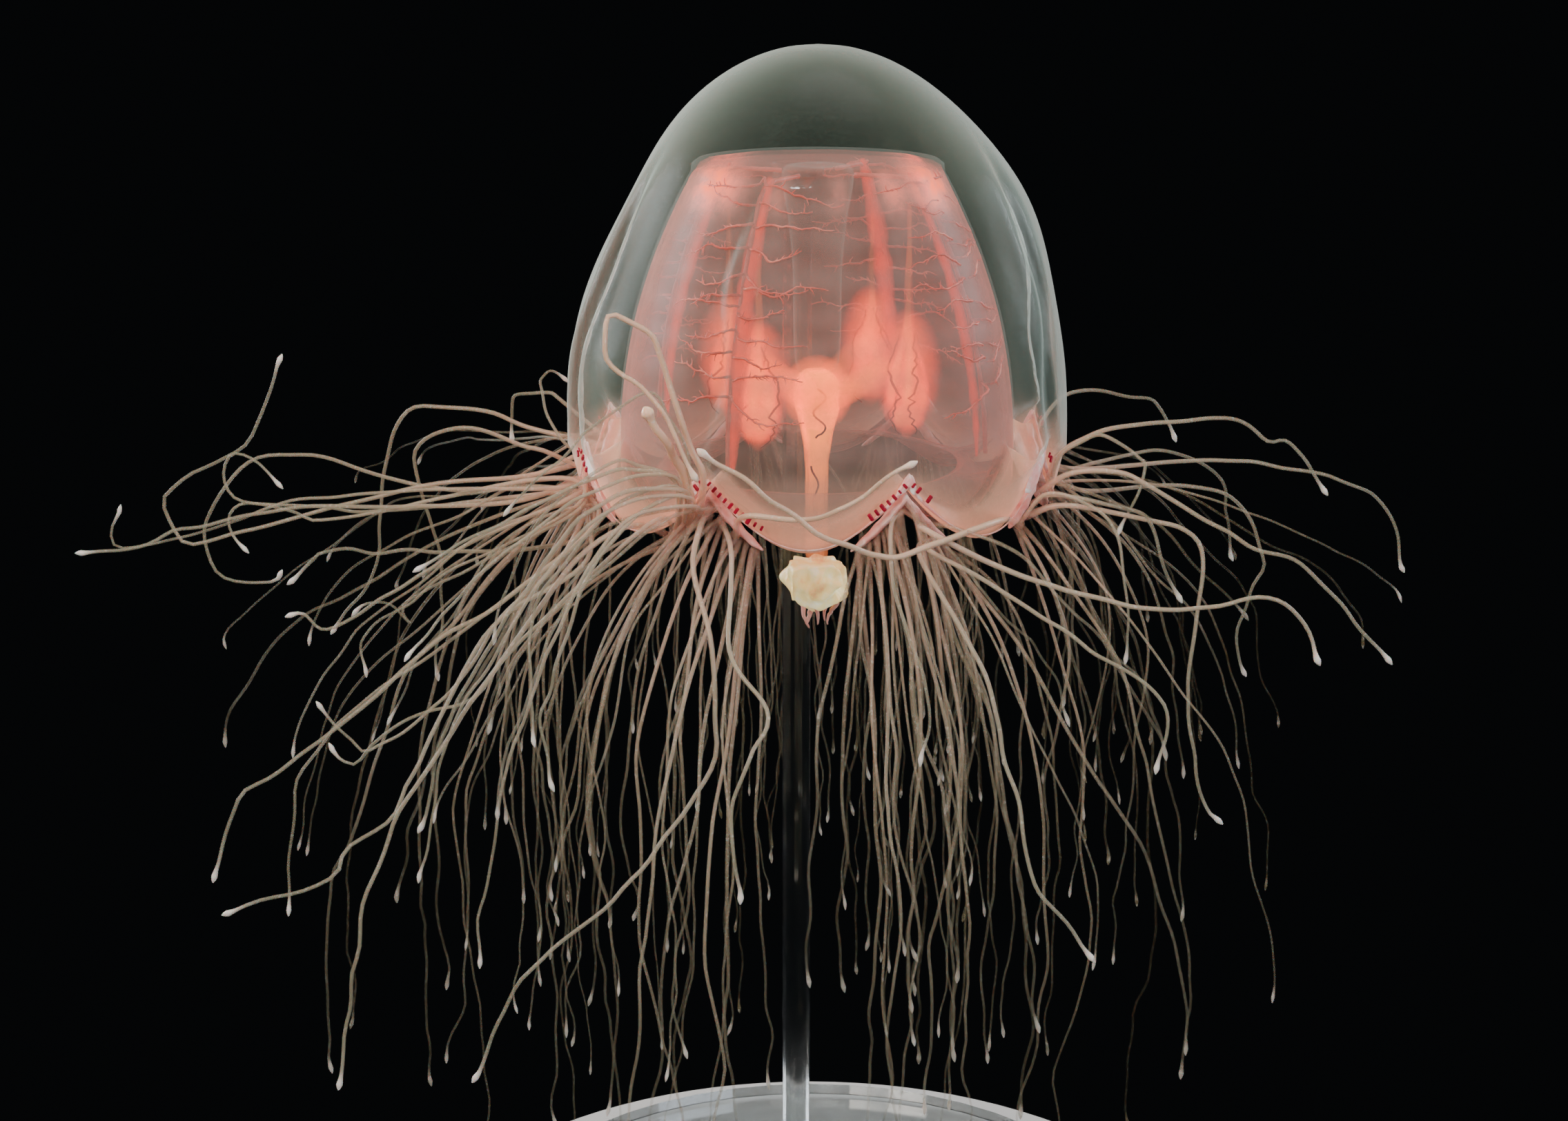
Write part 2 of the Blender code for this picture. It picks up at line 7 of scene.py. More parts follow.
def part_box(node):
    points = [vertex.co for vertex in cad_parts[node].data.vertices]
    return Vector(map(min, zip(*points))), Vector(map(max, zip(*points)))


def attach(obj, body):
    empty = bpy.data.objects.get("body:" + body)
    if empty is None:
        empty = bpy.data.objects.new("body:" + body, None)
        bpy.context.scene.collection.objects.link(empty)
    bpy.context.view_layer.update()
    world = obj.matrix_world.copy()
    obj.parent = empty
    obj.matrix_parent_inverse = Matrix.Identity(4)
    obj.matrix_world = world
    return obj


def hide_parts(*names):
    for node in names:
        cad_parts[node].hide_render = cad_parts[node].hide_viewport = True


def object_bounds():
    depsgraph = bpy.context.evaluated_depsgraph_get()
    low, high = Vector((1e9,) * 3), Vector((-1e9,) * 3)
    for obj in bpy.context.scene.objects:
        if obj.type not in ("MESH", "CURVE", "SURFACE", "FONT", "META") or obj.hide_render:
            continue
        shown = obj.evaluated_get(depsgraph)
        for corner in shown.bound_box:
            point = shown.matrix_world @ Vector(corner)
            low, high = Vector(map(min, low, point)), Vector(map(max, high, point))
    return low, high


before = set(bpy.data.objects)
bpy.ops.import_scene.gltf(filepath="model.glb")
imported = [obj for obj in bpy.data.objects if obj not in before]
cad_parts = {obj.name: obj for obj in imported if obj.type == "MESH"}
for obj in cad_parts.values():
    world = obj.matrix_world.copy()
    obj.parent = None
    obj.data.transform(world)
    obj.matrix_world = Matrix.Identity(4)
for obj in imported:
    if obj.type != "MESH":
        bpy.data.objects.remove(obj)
noise.seed_set(23)  # otherwise the clock seeds noise_vector
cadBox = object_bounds()
mm = 0.001
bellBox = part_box("bell")
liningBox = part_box("subumbrella")
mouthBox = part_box("mouth")
print("frame loaded")


# angles are degrees round the bell's axis, from the front (-Y) towards +X
def around(angle, distance, height):
    a = radians(angle)
    return Vector((distance * sin(a), -distance * cos(a), height))


def angleOf(point):
    return atan2(point[0], -point[1]) * 180 / pi


def turnBetween(first, second):
    return (second - first + 180) % 360 - 180


def radiusOf(point):
    return sqrt(point[0] ** 2 + point[1] ** 2)


def clamp(value, low=0.0, high=1.0):
    return min(max(value, low), high)


def smooth(value):
    share = clamp(value)
    return share * share * (3 - 2 * share)


def hump(distance, width):
    return exp(-(distance / width) ** 2)


# nodes
def hexColour(code):
    channels = [int(code[i:i + 2], 16) / 255 for i in (1, 3, 5)]
    linear = [c / 12.92 if c <= 0.04045 else ((c + 0.055) / 1.055) ** 2.4 for c in channels]
    return (*linear, 1)


def fill(tree, socket, value):
    if isinstance(value, bpy.types.NodeSocket):
        tree.links.new(value, socket)
    else:
        socket.default_value = value


def addNode(tree, kind, settings=None, links=None):
    node = tree.nodes.new(kind)
    for name, value in (settings or {}).items():
        setattr(node, name, value)
    for name, value in (links or {}).items():
        fill(tree, node.inputs[name], value)
    return node


def newMaterial(name):
    material = bpy.data.materials.new(name)
    material.use_nodes = True
    material.node_tree.nodes.clear()
    return material, material.node_tree


def objectCoords(tree):
    return addNode(tree, "ShaderNodeTexCoord").outputs["Object"]


def painted(tree, name):
    return addNode(tree, "ShaderNodeAttribute", {"attribute_name": name}).outputs["Fac"]


def facingOf(tree):
    return addNode(tree, "ShaderNodeLayerWeight", links={"Blend": 0.5}).outputs["Facing"]


# a value spread from one range to another: ends is low, high, toLow and toHigh
def ranged(tree, value, *ends):
    links = dict(zip(("From Min", "From Max", "To Min", "To Max"), ends), Value=value)
    return addNode(tree, "ShaderNodeMapRange", links=links).outputs[0]


# only the last step of a chain is clamped
def combined(tree, operation, *values, clampIt=False):
    result = values[0]
    for value in values[1:]:
        node = addNode(tree, "ShaderNodeMath", {"operation": operation})
        fill(tree, node.inputs[0], result)
        fill(tree, node.inputs[1], value)
        result = node.outputs[0]
    node.use_clamp = clampIt
    return result


def product(tree, *values, clampIt=False):
    return combined(tree, "MULTIPLY", *values, clampIt=clampIt)


def total(tree, *values, clampIt=False):
    return combined(tree, "ADD", *values, clampIt=clampIt)


# how squarely a surface is seen, drawn in or out by a power
def squareOn(tree, power):
    return combined(tree, "POWER", combined(tree, "SUBTRACT", 1.0, facingOf(tree), clampIt=True), power)


def colourRamp(tree, value, stops):
    ramp = addNode(tree, "ShaderNodeValToRGB", links={"Fac": value})
    elements = ramp.color_ramp.elements
    while len(elements) < len(stops):
        elements.new(0.5)
    for element, (position, code) in zip(elements, stops):
        element.position = position
        element.color = hexColour(code)
    return ramp.outputs[0]


def tinted(tree, colour, amount, code):
    mix = addNode(tree, "ShaderNodeMix", {"data_type": "RGBA"}, {"Factor": amount})
    tree.links.new(colour, mix.inputs[6])
    mix.inputs[7].default_value = hexColour(code)
    return mix.outputs[2]


def noiseAt(tree, vector, grainMm, detail=3.0):
    links = {"Vector": vector, "Scale": 1 / (grainMm * mm), "Detail": detail, "Roughness": 0.55}
    return addNode(tree, "ShaderNodeTexNoise", links=links).outputs[0]


def heightIn(tree, coords):
    return addNode(tree, "ShaderNodeSeparateXYZ", links={"Vector": coords}).outputs["Z"]


def bumpFrom(tree, height, depthMm):
    links = {"Height": height, "Distance": depthMm * mm}
    return addNode(tree, "ShaderNodeBump", links=links).outputs[0]


def principled(tree, links):
    return addNode(tree, "ShaderNodeBsdfPrincipled", links=links).outputs[0]


def surfaceOutput(tree, shader):
    addNode(tree, "ShaderNodeOutputMaterial", links={"Surface": shader})


def filmOutput(tree, shader, opacity):
    mix = addNode(tree, "ShaderNodeMixShader", links={"Fac": opacity})
    tree.links.new(addNode(tree, "ShaderNodeBsdfTransparent").outputs[0], mix.inputs[1])
    tree.links.new(shader, mix.inputs[2])
    surfaceOutput(tree, mix.outputs[0])


# mesoglea: wet jelly that is nearly all water, clear face on and milky grey-green where seen along
# its surface, with a faint cloudiness and fine grains caught in it, and a pink blush at its margin
# that is given a painted glow
jelly = {
    "colours": ((0.0, "#93ae9a"), (1.0, "#e6f0e4")),
    "faceOn": 0.01, "cloud": 0.055, "edge": 0.8, "edgePower": 2.3, "inside": 0.2, "peduncle": 0.4,
    "blush": 0.44, "pink": "#ffb390", "rimGlow": 0.3, "blushAbove": 3 * mm,
    "cloudMm": 16, "clouds": (0.35, 0.7, 0.35, 1.0), "grainMm": 0.45, "grains": (0.45, 0.75, 0.8, 1.5),
    "dimpleMm": 2.2, "dimpleDepth": 0.06,
    "plain": {"Roughness": 0.22, "IOR": 1.36, "Specular IOR Level": 0.35},
}


def jellyMaterial():
    material, tree = newMaterial("mesoglea_jelly")
    coords = objectCoords(tree)
    cloud = ranged(tree, noiseAt(tree, coords, jelly["cloudMm"]), *jelly["clouds"])
    grain = ranged(tree, noiseAt(tree, coords, jelly["grainMm"], 1), *jelly["grains"])
    edge = combined(tree, "POWER", facingOf(tree), jelly["edgePower"])
    haze = product(tree, cloud, grain, jelly["cloud"])
    rim = product(tree, edge, jelly["edge"])
    blush = painted(tree, "blush")
    sheer = total(tree, haze, rim, jelly["faceOn"], product(tree, blush, jelly["blush"]))
    colour = tinted(tree, colourRamp(tree, edge, jelly["colours"]), blush, jelly["pink"])
    shader = principled(tree, {
        "Base Color": colour, "Emission Color": colour,
        # painted glow: the pink margin is made to glow by emission
        "Emission Strength": product(tree, blush, jelly["rimGlow"]),
        "Normal": bumpFrom(tree, noiseAt(tree, coords, jelly["dimpleMm"], 2), jelly["dimpleDepth"]),
        **jelly["plain"],
    })
    filmOutput(tree, shader, product(tree, sheer, painted(tree, "skin"), clampIt=True))
    return material


# subumbrella: a thin film of ring muscle, dusty pink and half clear, its ring fibres drawn at
# 0.6 mm so that they show, denser where the wall is seen edge on, and orange near its shoulders;
# it has a faint painted glow all over and a strong painted glow in the orange patches
lining = {
    "colours": ((0.0, "#b49086"), (0.4, "#bb7f74"), (1.0, "#e07a68")),
    "faceOn": 0.22, "edge": 0.5, "edgePower": 2.0, "roof": 0.35, "roofDepth": (1.3 * mm, 0.6 * mm),
    "warmth": 0.9, "orange": "#ff5a22", "glow": 0.04, "warmGlow": 1.9,
    "warmMm": 2.0, "warmPatches": (0.35, 0.6, 0.5, 1.0), "cloudMm": 6, "clouds": (0.3, 0.7, 0.6, 1.4),
    "fibreMm": 0.6, "fibres": (0, 1, 0.85, 1.15), "fibreDepth": 0.05, "wander": 1.2, "fray": 0.6,
    "plain": {"Roughness": 0.35, "IOR": 1.38, "Specular IOR Level": 0.12},
}


def liningMaterial():
    material, tree = newMaterial("subumbrella_muscle_film")
    coords = objectCoords(tree)
    rings = addNode(tree, "ShaderNodeTexWave", {"bands_direction": "Z"}, {
        "Vector": coords, "Scale": 0.05 / (lining["fibreMm"] * mm), "Distortion": lining["wander"],
        "Detail": 2.0, "Detail Scale": lining["fray"],
    }).outputs["Fac"]
    edge = combined(tree, "POWER", facingOf(tree), lining["edgePower"])
    cloud = ranged(tree, noiseAt(tree, coords, lining["cloudMm"], 4), *lining["clouds"])
    face = product(tree, cloud, lining["faceOn"], ranged(tree, rings, *lining["fibres"]))
    film = total(tree, face, product(tree, edge, lining["edge"]), clampIt=True)
    low, high = [liningBox[1][2] - depth for depth in lining["roofDepth"]]
    thin = ranged(tree, heightIn(tree, coords), low, high, 1.0, lining["roof"])
    patches = ranged(tree, noiseAt(tree, coords, lining["warmMm"]), *lining["warmPatches"])
    warm = product(tree, painted(tree, "warm"), patches)
    opacity = total(tree, product(tree, film, thin), product(tree, warm, lining["warmth"]), clampIt=True)
    colour = tinted(tree, colourRamp(tree, edge, lining["colours"]), warm, lining["orange"])
    shader = principled(tree, {
        "Base Color": colour, "Emission Color": colour,
        # painted glow: faint over the whole film and strong in the orange patches
        "Emission Strength": ranged(tree, warm, 0.0, 1.0, lining["glow"], lining["warmGlow"]),
        "Normal": bumpFrom(tree, rings, lining["fibreDepth"]), **lining["plain"],
    })
    filmOutput(tree, shader, opacity)
    return material


# soft wet tissue, coloured by a slow blotch and given a fine moist bump; the glow stands for the
# light that such thin tissue lets through
tissue = {
    "blotches": (0.3, 0.7, 0, 1), "moistMm": 0.5, "moistDepth": 0.05,
    "plain": {"IOR": 1.38, "Subsurface Weight": 0.5, "Subsurface Radius": (1.0, 0.5, 0.35)},
}


def tissueMaterial(name, stops, blotchMm, roughness, glow=0.0, scatterMm=0.6):
    material, tree = newMaterial(name)
    coords = objectCoords(tree)
    blotch = ranged(tree, noiseAt(tree, coords, blotchMm, 4), *tissue["blotches"])
    colour = colourRamp(tree, blotch, stops)
    surfaceOutput(tree, principled(tree, {
        "Base Color": colour, "Roughness": roughness, "Subsurface Scale": scatterMm * mm,
        "Emission Color": colour, "Emission Strength": glow, **tissue["plain"],
        "Normal": bumpFrom(tree, noiseAt(tree, coords, tissue["moistMm"], 2), tissue["moistDepth"]),
    }))
    return material


# milky tissue lit from within: densest face on and thinning to nothing at its outline, so that it
# has no hard edge; heights spread its colours over two levels, and ends (foot, full, full, neck)
# thin it out below and above
milk = {
    "cloudMm": 2.4, "clouds": (0.3, 0.7, 0.75, 1.2), "depth": 0.05, "neck": 0.07,
    "plain": {"Roughness": 0.5, "IOR": 1.37, "Specular IOR Level": 0.2},
}


def hazeMaterial(name, stops, density, power, glow, heights=None, ends=None):
    material, tree = newMaterial(name)
    coords = objectCoords(tree)
    middle = squareOn(tree, power)
    cloud = ranged(tree, noiseAt(tree, coords, milk["cloudMm"]), *milk["clouds"])
    rise = heightIn(tree, coords)
    colour = colourRamp(tree, ranged(tree, rise, *heights, 0, 1) if heights else middle, stops)
    shader = principled(tree, {
        "Base Color": colour, "Emission Color": colour, "Emission Strength": glow,
        "Normal": bumpFrom(tree, cloud, milk["depth"]), **milk["plain"],
    })
    opacity = product(tree, middle, cloud, density, clampIt=True)
    if ends:
        foot = ranged(tree, rise, *ends[:2], 0.0, 1.0)
        neck = ranged(tree, rise, *ends[2:], 1.0, milk["neck"])
        opacity = product(tree, opacity, product(tree, foot, neck))
    filmOutput(tree, shader, opacity)
    return material


# tentacle: a thread of half-clear living tissue, pinkish at its root, olive-beige along its length,
# greyer and darker towards its lower part, which is partly painted shade, and whitish at the tip,
# with pale specks that are stinging cells and painted glints; it is densest along its middle, so
# that its outline is soft, and clearer at its root. Its tone is partly painted shade: a dark tone
# makes it darker and clearer, most of all along its lower part, and a tone below nothing paints
# light on it, making it paler
thread = {
    "stops": ((0.0, "#ffc4ae"), (0.08, "#eac2a8"), (0.3, "#c2b198"), (0.84, "#9f9b84"), (0.9, "#ccc4b2"),
              (0.96, "#f6f0e6")),
    "dark": "#655c40", "pale": "#ffceac", "speckGlint": "#fff6ea",
    "beadMm": 1.1, "beads": (0.35, 0.7, 1.2, 0.6), "beadDepth": 0.02,
    "speckGlintMm": 0.4, "speckGlints": (0.61, 0.72, 0.0, 0.4),
    "tones": (-0.8, 1.1), "solid": 1.1, "sheer": 0.26, "softness": 0.7,
    "shadeFade": 0.3, "shadeFadeTones": (-0.1, 0.4, 0.0, 1.0), "shadeFadeSpan": (0.15, 0.65, 0.0, 1.0),
    "rootSpan": (0.0, 0.1, 0.35, 1.0), "tipSpan": (0.88, 0.95, 0.0, 0.5),
    "plain": {"Roughness": 0.3, "IOR": 1.38, "Subsurface Weight": 0.4, "Subsurface Scale": 0.4 * mm},
}


def threadMaterial():
    material, tree = newMaterial("tentacle_thread")
    coords = objectCoords(tree)
    along = painted(tree, "along")
    toneAndShade = painted(tree, "toneAndShade")
    beads = noiseAt(tree, coords, thread["beadMm"], 2)
    # pale specks: stinging cells, and painted glints that stand for sparkling highlights
    speckGlints = ranged(tree, noiseAt(tree, coords, thread["speckGlintMm"], 1), *thread["speckGlints"])
    # painted shade from a dark tone, and painted light, paler, from a tone below nothing
    shade = product(tree, ranged(tree, beads, *thread["beads"]), toneAndShade, clampIt=True)
    light = product(tree, toneAndShade, -1.0, clampIt=True)
    colour = colourRamp(tree, along, thread["stops"])
    for amount, code in ((shade, "dark"), (light, "pale"), (speckGlints, "speckGlint")):
        colour = tinted(tree, colour, amount, thread[code])
    shader = principled(tree, {
        "Base Color": colour, "Normal": bumpFrom(tree, beads, thread["beadDepth"]), **thread["plain"],
    })
    # painted shade: a dark tone makes the thread clearer, most of all along its lower part
    body = ranged(tree, toneAndShade, *thread["tones"], thread["solid"], thread["sheer"])
    shadeFadeTone = ranged(tree, toneAndShade, *thread["shadeFadeTones"])
    shadeFade = product(tree, shadeFadeTone, ranged(tree, along, *thread["shadeFadeSpan"]))
    slim = ranged(tree, shadeFade, 0.0, 1.0, 1.0, thread["shadeFade"])
    body = product(tree, body, slim, ranged(tree, along, *thread["rootSpan"]))
    body = total(tree, body, ranged(tree, along, *thread["tipSpan"]))
    filmOutput(tree, shader, product(tree, squareOn(tree, thread["softness"]), body, clampIt=True))
    return material


# cast acrylic, cut and flame-polished: clear, with a soft edge highlight
def acrylicMaterial():
    material, tree = newMaterial("polished_acrylic")
    surfaceOutput(tree, principled(tree, {
        "Base Color": hexColour("#eef3f4"), "Roughness": 0.12, "IOR": 1.49, "Transmission Weight": 1.0,
    }))
    return material


# matt paint, a little uneven in its shine
def plainMaterial(name, code, roughness):
    material, tree = newMaterial(name)
    patches = noiseAt(tree, objectCoords(tree), 9)
    mottle = ranged(tree, patches, 0.3, 0.7, roughness - 0.05, roughness + 0.05)
    surfaceOutput(tree, principled(tree, {"Base Color": hexColour(code), "Roughness": mottle}))
    return material


# shared ways of making a piece
def finishPiece(piece, name, material, slot, *nodes):
    piece.name = name
    piece.data.name = name
    piece.data.materials.clear()
    piece.data.materials.append(material)
    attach(piece, "root")
    if nodes:
        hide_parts(*nodes)
    return piece


def placeObject(name, data):
    piece = bpy.data.objects.new(name, data)
    bpy.context.scene.collection.objects.link(piece)
    return piece


def activate(piece):
    bpy.ops.object.select_all(action="DESELECT")
    piece.select_set(True)
    bpy.context.view_layer.objects.active = piece


# a new piece of one of bpy's mesh kinds
def primitive(add, **sizes):
    bpy.ops.object.select_all(action="DESELECT")
    add(**sizes)
    return bpy.context.object


def sphere(segments, rings):
    return primitive(bpy.ops.mesh.primitive_uv_sphere_add, segments=segments, ring_count=rings, radius=1)


def moved(piece, shape):
    for vertex in piece.data.vertices:
        vertex.co = shape(vertex.co)
    piece.data.shade_smooth()
    return piece


def faceOutward(piece, mergeWithin=0):
    activate(piece)
    bpy.ops.object.mode_set(mode="EDIT")
    bpy.ops.mesh.select_all(action="SELECT")
    if mergeWithin:
        bpy.ops.mesh.remove_doubles(threshold=mergeWithin)
    bpy.ops.mesh.normals_make_consistent(inside=False)
    bpy.ops.object.mode_set(mode="OBJECT")
    return piece


# a number kept at each point of a mesh, for its material to read
def paint(piece, name, valueAt):
    layer = piece.data.attributes.new(name, "FLOAT", "POINT")
    for vertex, value in zip(piece.data.vertices, layer.data):
        value.value = valueAt(vertex.co)


def joined(pieces):
    bpy.ops.object.select_all(action="DESELECT")
    for piece in pieces:
        piece.select_set(True)
    bpy.context.view_layer.objects.active = pieces[0]
    bpy.ops.object.join()
    return bpy.context.object


def smoothThrough(points, steps=12):
    points = [Vector(p) for p in points]
    ends = [points[0] * 2 - points[1], *points, points[-1] * 2 - points[-2]]
    fine = []
    for a, b, c, d in zip(ends, ends[1:], ends[2:], ends[3:]):
        for i in range(steps):
            t = i / steps
            bend = (2 * a - 5 * b + 4 * c - d) * t * t + (3 * b - a - 3 * c + d) * t ** 3
            fine.append((2 * b + (c - a) * t + bend) / 2)
    return fine + [points[-1]]


def evenPoints(fine, count):
    lengths = [0.0]
    for a, b in zip(fine, fine[1:]):
        lengths.append(lengths[-1] + (b - a).length)
    route = []
    k = 0
    for i in range(count + 1):
        target = lengths[-1] * i / count
        while k < len(fine) - 2 and lengths[k + 1] < target:
            k += 1
        share = (target - lengths[k]) / max(lengths[k + 1] - lengths[k], 1e-9)
        route.append(fine[k].lerp(fine[k + 1], clamp(share)))
    return route


# a sphere's rings are laid along a profile of (radius, height), top pole first; shape moves each
# point, given its angle, its ring's share and its place
def turnedPiece(profile, rings, segments, shape):
    even = evenPoints(profile, rings)

    def place(co):
        ring = round(acos(clamp(co.z, -1, 1)) / pi * rings)
        angle = angleOf(co)
        return shape(angle, ring / rings, around(angle, *even[ring]))

    return moved(sphere(segments, rings), place)


def lineCurve(name, routes):
    curve = bpy.data.curves.new(name, "CURVE")
    curve.dimensions = "3D"
    for points, radii in routes:
        spline = curve.splines.new("POLY")
        spline.points.add(len(points) - 1)
        for point, at, radius in zip(spline.points, points, radii):
            point.co = (*at, 1)
            point.radius = radius
    return curve


def tubesPiece(routes, sides):
    curve = lineCurve("tubes", routes)
    curve.bevel_depth = 1
    curve.bevel_resolution = sides
    curve.use_fill_caps = True
    activate(placeObject("tubes", curve))
    bpy.ops.object.convert(target="MESH")
    piece = faceOutward(bpy.context.object, 0.002 * mm)
    piece.data.shade_smooth()
    return piece


# the bell and its cavity; levels are heights in mm at which their walls are laid out
bell = {
    "apex": bellBox[1][2], "widest": 115 * mm, "radius": 29.5 * mm, "power": 1.85, "crown": 1.15,
    "rim": 112.5 * mm, "rimRadius": 28.6 * mm, "rimInner": 25.2 * mm, "wall": 0.8 * mm, "gap": 0.3 * mm,
    "lobes": 8, "lobeDrop": 7.5 * mm, "lobeHeight": 9 * mm, "lobePower": 0.45, "notch": -70.5,
    "shoulder": 141 * mm, "shoulderHeight": 9 * mm, "lean": 1.2 * mm,
    "furrowDepth": 1.0 * mm, "furrowWidth": 1.3 * mm, "furrowTop": 149 * mm, "furrowFade": 14 * mm,
    "furrowStart": 4 * mm, "furrowWander": 2.2,
    "levels": (114.3, 118, 126, 133, 139, 143.6), "rings": 120, "segments": 192,
}
cavity = {
    "ceiling": liningBox[1][2], "ceilingRadius": 13.7 * mm, "radius": 23.3 * mm, "power": 2.1,
    "foot": 110.5 * mm, "thickness": 0.5 * mm, "velum": 109 * mm, "velumRadius": 17 * mm,
    "velumBend": Vector((20 * mm, 109.4 * mm)), "lobeDrop": 4.5 * mm, "lobeTop": 119 * mm,
    "lobeHeight": 9 * mm, "velumWidth": 5 * mm,
    "pleats": 9, "swell": 0.25 * mm, "edgeHeight": 2 * mm, "edgeWidth": 3 * mm,
    "levels": (143.6, 139, 133, 126, 118, 111.7), "rings": 110, "segments": 144,
}
# the orange patches at the shoulders, which also carry a painted glow: angle and width (degrees)
# and strength of each, then where they lie on the wall
warmSpots = [
    (-54, 16, 1.0), (-18, 6, 0.3), (8, 5, 0.25), (34, 8, 0.5), (60, 16, 1.0), (126, 12, 0.8), (-128, 14, 0.9),
]
warmBand = {"radius": 15 * mm, "width": 2.8 * mm, "foot": 138 * mm, "height": 5 * mm}


def bellRadius(z):
    rise = clamp((z - bell["widest"]) / (bell["apex"] - bell["widest"]))
    return bell["radius"] * sqrt(max(1 - rise ** bell["power"], 0))


def cavityRadius(z):
    rise = clamp((z - cavity["foot"]) / (cavity["ceiling"] - cavity["foot"]))
    wider = cavity["radius"] - cavity["ceilingRadius"]
    return cavity["ceilingRadius"] + wider * (1 - rise ** cavity["power"])


def inCavity(point):
    wall = bell["wall"]
    return radiusOf(point) < cavityRadius(point.z) + wall and point.z < cavity["ceiling"] + wall


def lobeWave(angle):
    return (0.5 - 0.5 * cos(radians(bell["lobes"] * (angle - bell["notch"])))) ** bell["lobePower"]


def marginDrop(angle, z):
    near = clamp((bell["rim"] + bell["lobeHeight"] - z) / bell["lobeHeight"])
    return bell["lobeDrop"] * lobeWave(angle) * near ** 2


# a crease with a low ridge at either side, running down over each notch and different at each
def furrow(angle, z):
    spacing = 360 / bell["lobes"]
    turns = (angle - bell["notch"]) / spacing
    notch = round(turns)
    wander = bell["furrowWander"] * sin(z * 320 + 2.4 * notch)
    off = radians((turns - notch) * spacing + wander) * bellRadius(z)
    fade = smooth((bell["furrowTop"] - z) / bell["furrowFade"])
    fade *= smooth((z - bell["rim"]) / bell["furrowStart"])
    depth = bell["furrowDepth"] * (0.7 + 0.5 * sin(1.7 * notch + 0.6))
    wide = bell["furrowWidth"]
    return depth * fade * (hump(off, wide) - 0.45 * hump(abs(off) - 2 * wide, 1.2 * wide))


def bellShape(angle, share, point):
    shaped = point - Vector((0, 0, marginDrop(angle, point.z)))
    if not inCavity(point):
        shaped -= around(angle, furrow(angle, point.z), 0)
        shaped.x += bell["lean"] * hump(point.z - bell["shoulder"], bell["shoulderHeight"])
    return shaped


def bellProfile():
    points = [(0, bell["apex"])]
    steps = 12
    for i in range(1, steps + 1):
        z = bell["widest"] + (bell["apex"] - bell["widest"]) * cos(pi / 2 * i / steps) ** bell["crown"]
        points.append((bellRadius(z), z))
    rim, radius, gap = bell["rim"], bell["rimRadius"], bell["gap"]
    points += [(radius + 0.4 * mm, rim + 2.2 * mm), (radius - 0.5 * mm, rim + 0.5 * mm)]
    points += [(radius - 1.7 * mm, rim), (bell["rimInner"], rim + 0.8 * mm)]
    points += [(cavityRadius(z * mm) + gap, z * mm) for z in bell["levels"]]
    ceiling = cavity["ceiling"] + gap
    return smoothThrough(points + [(cavity["ceilingRadius"] - 0.5 * mm, ceiling), (0, ceiling)])


def addBell(material):
    piece = turnedPiece(bellProfile(), bell["rings"], bell["segments"], bellShape)

    def blush(point):
        edge = bell["rim"] - marginDrop(angleOf(point), bell["rim"])
        top = bell["rim"] + jelly["blushAbove"]
        return smooth((top - point.z) / (top - edge))

    paint(piece, "skin", lambda point: jelly["inside"] if inCavity(point) else 1.0)
    paint(piece, "blush", blush)
    return finishPiece(piece, "bell_jelly", material, "bell_jelly", "bell")


def liningShape(angle, share, point):
    radius = radiusOf(point)
    edge = hump(point.z - cavity["ceiling"], cavity["edgeHeight"])
    edge *= hump(radius - cavity["ceilingRadius"], cavity["edgeWidth"])
    swell = cavity["swell"] * sin(radians(cavity["pleats"] * angle)) * edge
    low = clamp((cavity["lobeTop"] - point.z) / cavity["lobeHeight"]) ** 2
    low *= smooth((radius - cavity["velumRadius"]) / cavity["velumWidth"])
    return point + around(angle, swell, -cavity["lobeDrop"] * lobeWave(angle) * low)


def warmth(point):
    turned = angleOf(point)
    spots = [force * hump(turnBetween(at, turned), width) for at, width, force in warmSpots]
    rise = smooth((point.z - warmBand["foot"]) / warmBand["height"])
    return max(spots) * hump(radiusOf(point) - warmBand["radius"], warmBand["width"]) * rise


# down the outer side of the wall, in along the velum, and back up the inner side
def addLining(material):
    t, top, radius = cavity["thickness"], cavity["ceiling"], cavity["ceilingRadius"]
    levels = [z * mm for z in cavity["levels"]]
    velum = Vector((cavity["velumRadius"], cavity["velum"]))
    bend, up = cavity["velumBend"], Vector((0, t))
    points = [(0, top), (7 * mm, top), (radius - 0.8 * mm, top)]
    points += [(cavityRadius(z), z) for z in levels]
    points += [(cavity["radius"] - 0.6 * mm, cavity["foot"] - 0.2 * mm), bend, velum, velum + up, bend + up]
    points += [(cavityRadius(z) - t, z) for z in reversed(levels)]
    points += [(r, top - t) for r in (radius - 1.4 * mm, 7 * mm, 0)]
    piece = turnedPiece(smoothThrough(points), cavity["rings"], cavity["segments"], liningShape)
    paint(piece, "warm", warmth)
    finishPiece(piece, "subumbrella_film", material, "subumbrella_wall", "subumbrella")


print("bell")
bellPiece = addBell(jellyMaterial())
addLining(liningMaterial())


# radial canals, with their side branches and twigs, and a soft red streak beside each
canals = {
    "count": 4, "first": -28, "radius": 0.32 * mm, "inset": 1.35 * mm, "rise": 1.3 * mm,
    "start": 4.8 * mm, "levels": (142, 139, 133, 126, 118, 112.5), "rings": 60,
    "branches": 11, "top": 145 * mm, "foot": 120 * mm, "branch": 10.6 * mm, "branchSteps": 22,
    "branchRadius": 0.135 * mm, "twigRadius": 0.075 * mm, "twigShare": 0.5, "twigs": (0.3, 1.1),
    "streaks": (1.3 * mm, 0.7 * mm, 1.3 * mm, 0.8 * mm), "streakInset": 2.6 * mm,
    "streakLevels": (144, 139, 133, 127, 121, 116, 112), "seed": 11,
}


